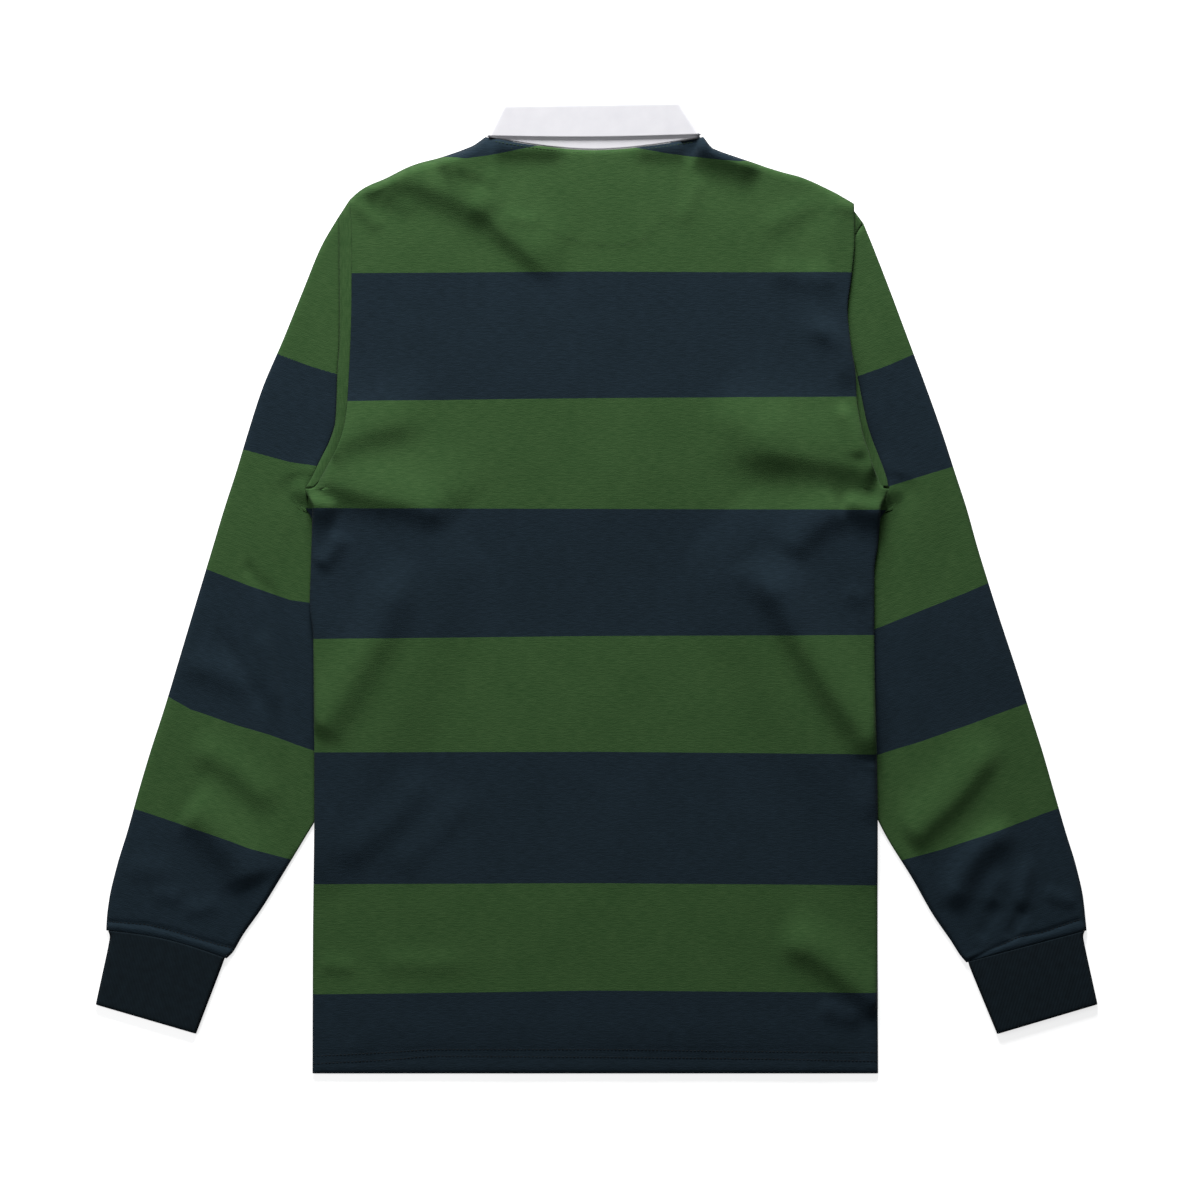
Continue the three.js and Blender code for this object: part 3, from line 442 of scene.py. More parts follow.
def nearest(line: Floats, x: Floats, down: Floats) -> tuple[Floats, Floats, Floats]:
    """Distance from places to a line.

    Args:
        line: one row for each point of the line.
        x: distances across.
        down: distances down.

    Returns:
        The distance, the share along the line, and the side (1 or -1) of each place.
    """
    points = np.asarray(line, float)
    best = np.full(np.shape(x), np.inf)
    along = np.zeros(np.shape(x))
    side = np.ones(np.shape(x))
    count = len(points) - 1
    for i, (a, b) in enumerate(zip(points[:-1], points[1:])):
        step = b - a
        t = np.clip(((x - a[0]) * step[0] + (down - a[1]) * step[1]) / max(step @ step, 1e-9), 0, 1)
        distance = np.hypot(x - a[0] - step[0] * t, down - a[1] - step[1] * t)
        closer = distance < best
        best = np.where(closer, distance, best)
        along = np.where(closer, (i + t) / count, along)
        turned = np.sign(step[0] * (down - a[1]) - step[1] * (x - a[0]))
        side = np.where(closer, turned, side)
    return best, along, side


def outside(outline: Sequence[Place], x: Floats, down: Floats) -> Floats:
    """Distance outside a closed outline, zero within it.

    Args:
        outline: the outline's corners.
        x: distances across.
        down: distances down.

    Returns:
        The distance of each place.
    """
    corners = np.asarray(outline, float)
    within = np.zeros(np.shape(x), bool)
    for a, b in zip(corners, np.roll(corners, -1, axis=0)):
        if a[1] == b[1]:
            continue
        crosses = (a[1] > down) != (b[1] > down)
        within ^= crosses & (x < a[0] + (b[0] - a[0]) * (down - a[1]) / (b[1] - a[1]))
    return np.where(within, 0.0, nearest(np.vstack([corners, corners[:1]]), x, down)[0])


def steady_curve(keys: Sequence[float], values: Sequence, at: Floats) -> Floats:
    """Smooth curve through a table that never swings past its rows.

    Args:
        keys: rising places of the rows.
        values: the value, or the row of values, at each.
        at: places to read.

    Returns:
        The value or values at each place.
    """
    k = np.asarray(keys, float)
    v = np.asarray(values, float)
    at = np.asarray(at, float)
    table = v.reshape(len(k), -1)
    gap = np.diff(k)[:, None]
    slope = np.diff(table, axis=0) / gap
    pull = np.zeros_like(table)
    pull[0], pull[-1] = slope[0], slope[-1]
    if len(k) > 2:
        before, after = slope[:-1], slope[1:]
        agree = before * after > 0
        w_before, w_after = 2 * gap[1:] + gap[:-1], gap[1:] + 2 * gap[:-1]
        safe_before, safe_after = np.where(agree, before, 1.0), np.where(agree, after, 1.0)
        mean = (w_before + w_after) / (w_before / safe_before + w_after / safe_after)
        pull[1:-1] = np.where(agree, mean, 0.0)
    flat = np.clip(at.ravel(), k[0], k[-1])
    i = np.clip(np.searchsorted(k, flat, side="right") - 1, 0, len(k) - 2)
    h = (k[i + 1] - k[i])[:, None]
    t = ((flat - k[i])[:, None]) / h
    read = (
        (1 + 2 * t) * (1 - t) ** 2 * table[i]
        + t * (1 - t) ** 2 * h * pull[i]
        + t * t * (3 - 2 * t) * table[i + 1]
        + t * t * (t - 1) * h * pull[i + 1]
    )
    return read.reshape(at.shape + v.shape[1:])


def evenly(line: Floats, count: int) -> Floats:
    """Points at equal steps along a line.

    Args:
        line: one row for each point.
        count: number of steps.

    Returns:
        count + 1 points.
    """
    points = np.asarray(line, float)
    lengths = np.concatenate([[0.0], np.cumsum(np.linalg.norm(np.diff(points, axis=0), axis=1))])
    at = np.linspace(0, lengths[-1], count + 1)
    return np.stack([np.interp(at, lengths, points[:, i]) for i in range(points.shape[1])], axis=1)


def swell(distance: Floats) -> Floats:
    """Share of the full loft at a distance from the folds that close a layer."""
    return 1 - (1 - np.clip(distance / LOFT_REACH, 0, 1)) ** 4


def loft(depth: Floats) -> Floats:
    """Stand-off of an upper layer: some of it beside the fold and the rest slowly towards the middle.

    Args:
        depth: distance from the fold.

    Returns:
        Height above the layers lying flat on each other.
    """
    return LOFT * swell(depth) * (LOFT_EDGE + (1 - LOFT_EDGE) * smooth(0, 60, depth))


def uneven(x: Floats, down: Floats) -> Floats:
    """Slight unevenness of cloth that nobody has pressed flat.

    Args:
        x: distances across.
        down: distances down.

    Returns:
        Height in millimetres.
    """
    slow = np.sin(x / 19 + 1.3 * np.sin(down / 43)) + np.sin(down / 24 + 1.7 * np.sin(x / 39) + 2)
    quick = np.sin(x / 7.3 + 2 * np.sin(down / 15) + 1) * np.sin(down / 8.1 + 2 * np.sin(x / 21))
    return 0.16 * slow + 0.05 * quick


class Cut:
    """The lines of the shirt's pieces as they lie, with the sign of each side."""

    def signed(self, side: Side, places: Sequence[Place]) -> Floats:
        """Puts places of one side on that side.

        Args:
            side: the side.
            places: distances across and down.

        Returns:
            The same places with the sign of the side.
        """
        return np.array(places, float) * (side.value, 1)

    def edge_across(self, side: Side, edge: Edge, down: Floats) -> Floats:
        """Distance across of a panel's edge.

        Args:
            side: the side.
            edge: the armhole line that the edge follows.
            down: distances down.

        Returns:
            Signed distances across.
        """
        column = {Edge.PANEL: 1, Edge.BAND: 2, Edge.SLEEVE: 3}[edge]
        top = ARMHOLE_TOP[side][edge]
        corner = (ARMPIT_DOWN + ARMPIT_STEP, self.armpit(side)[0])
        rows = [(top[1], top[0])] + [(row[0], row[column]) for row in ARMHOLE[side]] + [corner] + SIDE_SEAM[side]
        keys, values = zip(*rows)
        return side.value * (steady_curve(keys, values, down) - SEAM_SLIT / 2)

    def armpit(self, side: Side) -> Place:
        """The body's corner below the armhole band, as distances across and down."""
        return ARMHOLE[side][-1][3] - 0.3, ARMPIT_DOWN

    def armhole(self, side: Side, edge: Edge, shift: float = 0.0, count: int = 120) -> Floats:
        """The line round an armhole from the shoulder to the armpit.

        Args:
            side: the side.
            edge: which of its lines.
            shift: distance to move it outward.
            count: number of steps.

        Returns:
            Points at equal steps.
        """
        column = {Edge.PANEL: 1, Edge.BAND: 2, Edge.SLEEVE: 3}[edge]
        top = ARMHOLE_TOP[side][edge]
        rows = [(top[1], top[0])] + [(row[0], row[column]) for row in ARMHOLE[side]]
        keys, values = zip(*rows)
        down = np.linspace(keys[0], keys[-1], 600)
        across = steady_curve(keys, values, down) + shift
        return evenly(self.signed(side, np.stack([across, down], axis=1)), count)

    def seam(self, side: Side) -> Floats:
        """The side fold below an armpit."""
        return self.signed(side, [self.armpit(side)] + [(across, down) for down, across in SIDE_SEAM[side]])

    def outer(self, side: Side) -> Floats:
        """The fold along the shoulder and the outside of a sleeve."""
        places = SHOULDER[side] + [ARMHOLE_TOP[side][Edge.SLEEVE]] + [s.outer for s in SLEEVE[side]]
        return self.signed(side, places)

    def underarm(self, side: Side) -> Floats:
        """The underarm fold where it shows beside the body."""
        return self.signed(side, [section.inner for section in SLEEVE[side][13:]])

    def tuck(self, side: Side) -> Floats:
        """Outline of the part of a sleeve that lies under the body."""
        return self.signed(side, [section.inner for section in SLEEVE[side][TUCKED_SECTIONS]])

    def back_neck(self, x: Floats) -> Floats:
        """Drop of the back neck seam."""
        share = np.abs((np.asarray(x, float) - NECK_CENTRE) / NECK_HALF_WIDTH)
        return np.maximum(BACK_NECK_DROP * (1 - share**1.75), 0)

    def shoulder_down(self, side: Side, across: Floats) -> Floats:
        """Drop of the shoulder line.

        Args:
            side: the side.
            across: unsigned distances across.

        Returns:
            The drop at each distance.
        """
        keys, values = zip(*SHOULDER[side])
        return steady_curve(keys, values, across)


CUT = Cut()


class Lay:
    """How the layers lie on each other, as the height of the middle of each cloth."""

    def __init__(self) -> None:
        """Gathers the lines that the heights are measured from."""
        self.seams = {side: CUT.seam(side) for side in Side}
        self.outers = {side: CUT.outer(side) for side in Side}
        self.underarms = {side: CUT.underarm(side) for side in Side}
        self.tucks = {side: CUT.tuck(side) for side in Side}
        self.armholes = {side: CUT.armhole(side, Edge.SLEEVE, count=24) for side in Side}
        self.collar = [
            (-88, -1), (-75, -25), (73, -25), (84, -1), LEAF_POINT, (0, FRONT_NECK_DROP),
            (-LEAF_POINT[0], LEAF_POINT[1]),
        ]
        half = PLACKET_WIDTH / 2
        self.placket = [(-half, FRONT_NECK_DROP), (half, FRONT_NECK_DROP), (half, PLACKET_END), (-half, PLACKET_END)]

    def presence(self, outline: Sequence[Place], x: Floats, down: Floats, start: float, end: float) -> Floats:
        """One over an outline, falling to zero away from it.

        Args:
            outline: the outline's corners.
            x: distances across.
            down: distances down.
            start: distance at which it begins to fall.
            end: distance at which it reaches zero.

        Returns:
            The presence at each place.
        """
        return 1 - smooth(start, end, outside(outline, x, down))

    def tuck(self, side: Side, x: Floats, down: Floats) -> Floats:
        """Presence of a sleeve's tucked part under the body."""
        return self.presence(self.tucks[side], x, down, 10, 60)

    def body_depth(self, x: Floats, down: Floats) -> Floats:
        """Distance from the folds that close the body."""
        lines = [*self.outers.values(), *self.seams.values()]
        depth = np.minimum.reduce([nearest(line, x, down)[0] for line in lines])
        return np.maximum(np.minimum(depth, (BODY_LENGTH - down) * 1.5), 0)

    def lower(self, x: Floats, down: Floats, reach: float = 50.0) -> Floats:
        """Height of the front panel, which lies on what is under it.

        Args:
            x: distances across.
            down: distances down.
            reach: distance over which it sinks beside the collar and the placket.

        Returns:
            Height of the middle of the cloth.
        """
        return FLOOR_LAYER + np.maximum.reduce([
            TUCK_RISE * self.tuck(Side.LEFT, x, down),
            TUCK_RISE * self.tuck(Side.RIGHT, x, down),
            LEAF_RISE * self.presence(self.collar, x, down, 8, reach),
            PLACKET_RISE * self.presence(self.placket, x, down, 8, reach),
        ])

    def upper(self, x: Floats, down: Floats) -> Floats:
        """Height of the upper layer of the body without its creases."""
        return self.lower(x, down) + LAYER + loft(self.body_depth(x, down))

    def back(self, x: Floats, down: Floats) -> Floats:
        """Height of the back panel."""
        depth = self.body_depth(x, down)
        near_band = nearest(self.armholes[Side.RIGHT], x, down)[0]
        lap = np.where(x > 0, 1 - smooth(16, 45, near_band), 0)
        creases = sum(crease.height(x, down) for crease in BACK_CREASES)
        low = self.lower(x, down) + LAYER
        bridge = self.lower(x, down, 150) + LAYER
        lie = (creases + uneven(x, down)) * swell(depth * 1.7)
        return np.maximum(bridge + loft(depth) + LAP_RISE * lap + lie, low)

    def sleeve_depth(self, side: Side, x: Floats, down: Floats) -> Floats:
        """Distance from the folds that close a sleeve, zero where the body lies on it."""
        beneath = (down > ARMPIT_DOWN) & (np.abs(x) < np.abs(CUT.edge_across(side, Edge.PANEL, down)))
        below = smooth(ARMPIT_DOWN - 25, ARMPIT_DOWN + 5, down)
        share = smooth(TUCK_MARGIN * below, 10 + 24 * below, nearest(self.seams[side], x, down)[0])
        from_body = LOFT_REACH * (1 - (1 - share) ** 0.25)
        depth = np.minimum.reduce([
            nearest(self.outers[side], x, down)[0], nearest(self.underarms[side], x, down)[0], from_body,
        ])
        return np.where(beneath, 0, depth)

    def sleeve_lower(self, side: Side, x: Floats, down: Floats) -> Floats:
        """Height of a sleeve's under layer, which meets the body's at the armhole."""
        near = 1 - smooth(0, 16, nearest(self.armholes[side], x, down)[0])
        return FLOOR_LAYER + TUCK_RISE * self.tuck(side, x, down) * near

    def sleeve_upper(self, side: Side, x: Floats, down: Floats) -> Floats:
        """Height of a sleeve's upper layer."""
        low = self.sleeve_lower(side, x, down) + LAYER
        creases = sum(crease.height(x, down) for crease in SLEEVE_CREASES[side])
        depth = self.sleeve_depth(side, x, down)
        lie = (creases + uneven(x, down)) * swell(depth * 1.7)
        return np.maximum(low + loft(depth) + lie, low)


LAY = Lay()


def hoop_share(hoops: Sequence[Sequence[Place]], x: Floats, down: Floats) -> Floats:
    """Number of the hoop at each place, counted from the first edge, with its share across the hoop.

    Args:
        hoops: the hoops' edges in order from the top.
        x: distances across.
        down: distances down.

    Returns:
        -1 to 0 above the first edge, 0 to 1 below it, and so on.
    """
    edges = []
    for edge in hoops:
        keys, values = zip(*edge)
        inside = np.interp(x, keys, values)
        first = (values[1] - values[0]) / (keys[1] - keys[0])
        last = (values[-1] - values[-2]) / (keys[-1] - keys[-2])
        inside = np.where(x < keys[0], values[0] + first * (x - keys[0]), inside)
        edges.append(np.where(x > keys[-1], values[-1] + last * (x - keys[-1]), inside))
    share = np.clip((down - edges[0]) / 95, -0.9, 0)
    for i, (above, below) in enumerate(zip(edges[:-1], edges[1:])):
        t = (down - above) / np.maximum(below - above, 1e-6)
        share = np.where((down >= above) & (down < below), i + t, share)
    return np.where(down >= edges[-1], len(edges) - 1 + np.clip((down - edges[-1]) / 40, 0, 0.9), share)


@dataclass
class Sheet:
    """A stretch of cloth as a grid of places on its middle, which becomes a thin closed shell."""

    middle: Floats                  # rows x columns x (across, down, up), in millimetres
    thickness: float
    wrap: bool = False              # the columns close into a tube
    hoop: Floats | None = None      # rows x columns
    grain: Floats | None = None     # rows x columns x 2, millimetres along and across the courses
    gap_column: int | None = None   # a column of cells that is left open

    def normals(self) -> Floats:
        """Unit normals of the middle at each point."""
        world = self.world(self.middle)
        if self.wrap:
            across = np.roll(world, -1, axis=1) - np.roll(world, 1, axis=1)
        else:
            across = np.gradient(world, axis=1)
        along = np.gradient(world, axis=0)
        normal = np.cross(along, across)
        length = np.linalg.norm(normal, axis=2, keepdims=True)
        return normal / np.maximum(length, 1e-12)

    @staticmethod
    def world(places: Floats) -> Floats:
        """Turns places on the shirt into frame coordinates in millimetres."""
        turned = np.array(places, float)
        turned[..., 1] = SIDE_NECK_Y - turned[..., 1]
        return turned

    def cells(self) -> Floats:
        """Row and column of each cell that is kept."""
        rows = self.middle.shape[0] - 1
        columns = self.middle.shape[1] - (0 if self.wrap else 1)
        kept = [j for j in range(columns) if j != self.gap_column]
        grid = np.stack(np.meshgrid(np.arange(rows), kept, indexing="ij"), axis=-1)
        return grid.reshape(-1, 2)

    def build(self, name: str) -> bpy.types.Object:
        """Makes the shell as an object in the scene.

        Args:
            name: the object's name.

        Returns:
            The object, with its hoop and grain data where the sheet has them.
        """
        rows, columns = self.middle.shape[:2]
        offset = self.normals() * self.thickness / 2
        world = self.world(self.middle)
        points = np.concatenate([(world + offset).reshape(-1, 3), (world - offset).reshape(-1, 3)]) * MM
        layer = rows * columns
        cells = self.cells()
        i, j = cells[:, 0], cells[:, 1]
        k = (j + 1) % columns
        a, b = i * columns + j, (i + 1) * columns + j
        c, d = (i + 1) * columns + k, i * columns + k
        faces = [np.stack([a, b, c, d], axis=1), np.stack([d, c, b, a], axis=1) + layer]
        edges = np.concatenate([np.stack(pair, axis=1) for pair in ((a, b), (b, c), (c, d), (d, a))])
        keys = edges[:, 0].astype(np.int64) * layer + edges[:, 1]
        back = edges[:, 1].astype(np.int64) * layer + edges[:, 0]
        rim = edges[~np.isin(keys, back)]
        faces.append(np.stack([rim[:, 1], rim[:, 0], rim[:, 0] + layer, rim[:, 1] + layer], axis=1))
        quads = np.concatenate(faces)
        used, index = np.unique(quads, return_inverse=True)
        quads = index.reshape(-1, 4)
        mesh = bpy.data.meshes.new(name)
        mesh.from_pydata(points[used].tolist(), [], quads.tolist())
        mesh.polygons.foreach_set("use_smooth", np.ones(len(quads), bool))
        if self.hoop is not None:
            values = np.tile(self.hoop.ravel(), 2)[used]
            mesh.attributes.new("hoop", "FLOAT", "POINT").data.foreach_set("value", values.astype(np.float32))
        if self.grain is not None:
            values = np.tile(self.grain.reshape(-1, 2), (2, 1))[used] * MM
            mesh.uv_layers.new(name="grain").data.foreach_set("uv", values[quads.ravel()].astype(np.float32).ravel())
        mesh.validate()
        mesh.update()
        made = bpy.data.objects.new(name, mesh)
        bpy.context.scene.collection.objects.link(made)
        turn_outward(made)
        return made


def turn_outward(made: bpy.types.Object) -> None:
    """Turns a closed mesh so that its faces point out of the cloth.

    Args:
        made: the object to turn.
    """
    mesh = made.data
    mesh.calc_loop_triangles()
    points = np.empty(len(mesh.vertices) * 3)
    mesh.vertices.foreach_get("co", points)
    points = points.reshape(-1, 3)
    corners = np.empty(len(mesh.loop_triangles) * 3, int)
    mesh.loop_triangles.foreach_get("vertices", corners)
    a, b, c = (points[corners.reshape(-1, 3)[:, n]] for n in range(3))
    if np.einsum("ij,ij->i", a, np.cross(b, c)).sum() < 0:
        mesh.flip_normals()


def panel_columns(edge: Edge, count: int) -> tuple[Floats, Floats]:
    """Shares across a panel of its columns, with some close to its edges.

    Args:
        edge: the armhole line that the panel's edge follows.
        count: number of even columns.

    Returns:
        The shares, and the places of the panel's top boundary at each for the back panel.
    """
    left, right = -ARMHOLE_TOP[Side.LEFT][edge][0], ARMHOLE_TOP[Side.RIGHT][edge][0]
    width = right - left
    necks = [(-SHOULDER[Side.LEFT][0][0] - left) / width, (SHOULDER[Side.RIGHT][0][0] - left) / width]
    shares = np.linspace(0, 1, count + 1)
    for neck in necks:
        shares[np.argmin(np.abs(shares - neck))] = neck
    close = np.array([0.4, 0.9, 1.5]) / width
    shares = np.unique(np.concatenate([shares, close, 1 - close]))
    return shares, left + shares * width


def panel_grid(top: Floats, shares: Floats, edge: Edge, levels: Floats) -> Floats:
    """Grid of a panel below its top boundary, in rows that flatten out toward the armpits.

    Args:
        top: places of the top boundary.
        shares: share of each column across the panel.
        edge: the armhole line that the panel's edge follows.
        levels: drop of each row at the panel's sides.

    Returns:
        Rows x columns x (across, down).
    """
    ends = top[0, 1] + shares * (top[-1, 1] - top[0, 1])
    rows = [top]
    for level in levels:
        arch = max(0.0, (ARMPIT_DOWN - level) / (ARMPIT_DOWN - SHOULDER_DOWN))
        left, right = (float(CUT.edge_across(side, edge, level)) for side in Side)
        rows.append(np.stack([left + shares * (right - left), level + (top[:, 1] - ends) * arch], axis=1))
    return np.array(rows)


def edge_roll(distance: Floats, drop: float, reach: float = 1.5) -> Floats:
    """How far a cloth's edge turns down into its seam.

    Args:
        distance: distance from the edge.
        drop: how far the edge itself goes down.
        reach: distance over which it does.

    Returns:
        The drop at each distance.
    """
    return drop * (1 - np.clip(distance / reach, 0, 1)) ** 2


@dataclass
class Body:
    """The back and front panels."""

    columns: int = 160
    row_step: float = 3.0
    front_columns: int = 76
    front_row_step: float = 6.0
    half_moon_rise: float = 0.35
    corner_reach: float = 10.0      # how far the front's corner runs out under each armpit
    corner_height: float = 1.2

    def levels(self, step: float) -> Floats:
        """Drop of each row of a panel below its top boundary.

        Args:
            step: distance between rows.

        Returns:
            Rising drops that end at the hem.
        """
        count = round((BODY_LENGTH - 54.5) / step)
        close = BODY_LENGTH - np.array([0.5, 1.2])
        corner = ARMPIT_DOWN + np.array([0.02, ARMPIT_STEP])
        return np.sort(np.concatenate([np.linspace(54.5, BODY_LENGTH, count + 1), close, corner]))

    def back(self) -> bpy.types.Object:
        """Builds the back panel with its half-moon, hem and seam edges.

        Returns:
            The panel.
        """
        shares, across = panel_columns(Edge.PANEL, self.columns)
        down = CUT.back_neck(across)
        for side in Side:
            beyond = side.value * across > SHOULDER[side][0][0]
            down = np.where(beyond, CUT.shoulder_down(side, np.abs(across)), down)
        top = np.stack([across, down], axis=1)
        places = panel_grid(top, shares, Edge.PANEL, self.levels(self.row_step))
        x, down = places[..., 0], places[..., 1]
        up = LAY.back(x, down)
        moon = evenly(steady_curve(np.arange(len(HALF_MOON)), HALF_MOON, np.linspace(0, 10, 81)), 60)
        patch = np.vstack([moon, [[64.3, -20], [-67.7, -20]]])
        up += self.half_moon_rise * (1 - smooth(0, 2.5, outside(patch, x, down)))
        for line in HEM_SEWING:
            up -= 0.35 * np.exp(-((nearest(np.array(line), x, down)[0] / 1.6) ** 2))
        up -= edge_roll(x - x[:, :1], 0.3)
        up -= edge_roll(x[:, -1:] - x, 0.7)
        up -= edge_roll(down - down[:1], 0.5)
        up -= edge_roll(BODY_LENGTH - down, 0.5)
        middle = np.dstack([x, down, up])
        grain = np.dstack([x, down])
        sheet = Sheet(middle, JERSEY, hoop=hoop_share(BODY_HOOPS, x, down), grain=grain)
        return sheet.build("back_panel")

    def front(self) -> bpy.types.Object:
        """Builds the front panel, slit for the placket.

        Returns:
            The panel.
        """
        slit = PLACKET_WIDTH / 2 + SEAM_GAP
        half = self.front_columns // 2
        sides = []
        for side in Side:
            end = ARMHOLE_TOP[side][Edge.BAND][0] - SEAM_GAP / 2 - 0.8
            neck = SHOULDER[side][0][0]
            across = np.linspace(end, neck, half // 2 + 1)
            shoulder = np.stack([across, CUT.shoulder_down(side, across)], axis=1)
            turn = np.linspace(0, np.pi / 2, half - half // 2 + 1)[1:]
            reach = (neck - slit) * np.cos(turn) + slit
            scoop = np.stack([reach, (FRONT_NECK_DROP - SEAM_GAP) * np.sin(turn) ** 0.85], axis=1)
            sides.append(CUT.signed(side, np.vstack([shoulder, scoop])))
        top = np.vstack([sides[0], sides[1][::-1]])
        shares = (top[:, 0] - top[0, 0]) / (top[-1, 0] - top[0, 0])
        places = panel_grid(top, shares, Edge.BAND, self.levels(self.front_row_step))
        x, down = places[..., 0].copy(), places[..., 1]
        inset = 1.2 * smooth(ARMPIT_DOWN, ARMPIT_DOWN + 12, down)
        x *= 1 - inset / np.abs(x).max(axis=1, keepdims=True)
        column = len(sides[0]) - 1
        slit_rows = int(np.searchsorted(down[:, column], PLACKET_END))
        x[: slit_rows + 1, column] = -slit
        x[: slit_rows + 1, column + 1] = slit
        up = LAY.lower(x, down)
        notch = np.exp(-(((down[:, 0] - 290) / 11) ** 2))
        for column_at, side in ((0, Side.LEFT), (-1, Side.RIGHT)):
            x[:, column_at] += side.value * self.corner_reach * notch
            up[:, column_at] -= (up[:, column_at] - self.corner_height) * notch.clip(0, 1)
        grain = np.dstack([x, down])
        hoop = hoop_share(BODY_HOOPS, x, down)
        return self.slit_panel(np.dstack([x, down, up]), hoop, grain, column, slit_rows)

    def slit_panel(
        self, middle: Floats, hoop: Floats, grain: Floats, column: int, slit_rows: int
    ) -> bpy.types.Object:
        """Makes the front panel's shell, whose slit leaves out cells of one column.

        Args:
            middle: grid of places on the cloth's middle.
            hoop: hoop number at each.
            grain: place in the cloth at each.
            column: the column of cells that the slit takes.
            slit_rows: how many of its rows are open.

        Returns:
            The panel.
        """
        sheet = Sheet(middle, JERSEY, hoop=hoop, grain=grain)
        kept = sheet.cells()
        open_cells = (kept[:, 1] == column) & (kept[:, 0] < slit_rows)
        sheet.cells = lambda: kept[~open_cells]
        return sheet.build("front_panel")


def folded_ring(upper: Floats, lower: Floats, inset: float, arc: int = 5) -> Floats:
    """Middle of a flattened tube: along its upper layer, round a fold, and back along its lower one.

    Args:
        upper: places on the upper layer, rings x points x 3, from the left fold to the right one.
        lower: places on the lower layer in the same order.
        inset: how far the folds lie within the layers' ends.
        arc: number of points round each fold.

    Returns:
        Rings x points x 3.
    """
    def end(layer: Floats, first: bool, by: Floats) -> Floats:
        here, there = (layer[:, 0], layer[:, 3]) if first else (layer[:, -1], layer[:, -4])
        step = (there - here)[:, :2]
        step = step / np.maximum(np.linalg.norm(step, axis=1, keepdims=True), 1e-9)
        return np.concatenate([here[:, :2] + step * by[:, None], here[:, 2:]], axis=1)

    def fold(first: bool, angles: Floats) -> Floats:
        a, b = (end(layer, first, np.zeros(len(layer))) for layer in (upper, lower))
        radius = np.abs(a[:, 2] - b[:, 2]) / 2
        inward = end(upper, first, np.ones(len(upper)))[:, :2] - a[:, :2]
        centre = (a[:, :2] + b[:, :2]) / 2 + inward * (inset + radius)[:, None]
        middle = (a[:, 2] + b[:, 2]) / 2
        rows = []
        for angle in angles:
            flat = centre - inward * (np.cos(angle) * radius)[:, None]
            rows.append(np.concatenate([flat, (middle + np.sin(angle) * radius)[:, None]], axis=1))
        return np.stack(rows, axis=1)

    def trimmed(layer: Floats) -> Floats:
        made = layer.copy()
        radius = np.abs(upper[:, (0, -1), 2] - lower[:, (0, -1), 2]) / 2
        for column, first in ((0, True), (-1, False)):
            reach = inset + radius[:, column] + 0.3
            made[:, column] = end(layer, first, reach)
        return made

    down_turn = np.linspace(np.pi / 2, -np.pi / 2, arc + 2)[1:-1]
    return np.concatenate(
        [trimmed(upper), fold(False, down_turn), trimmed(lower)[:, ::-1], fold(True, -down_turn)], axis=1
    )


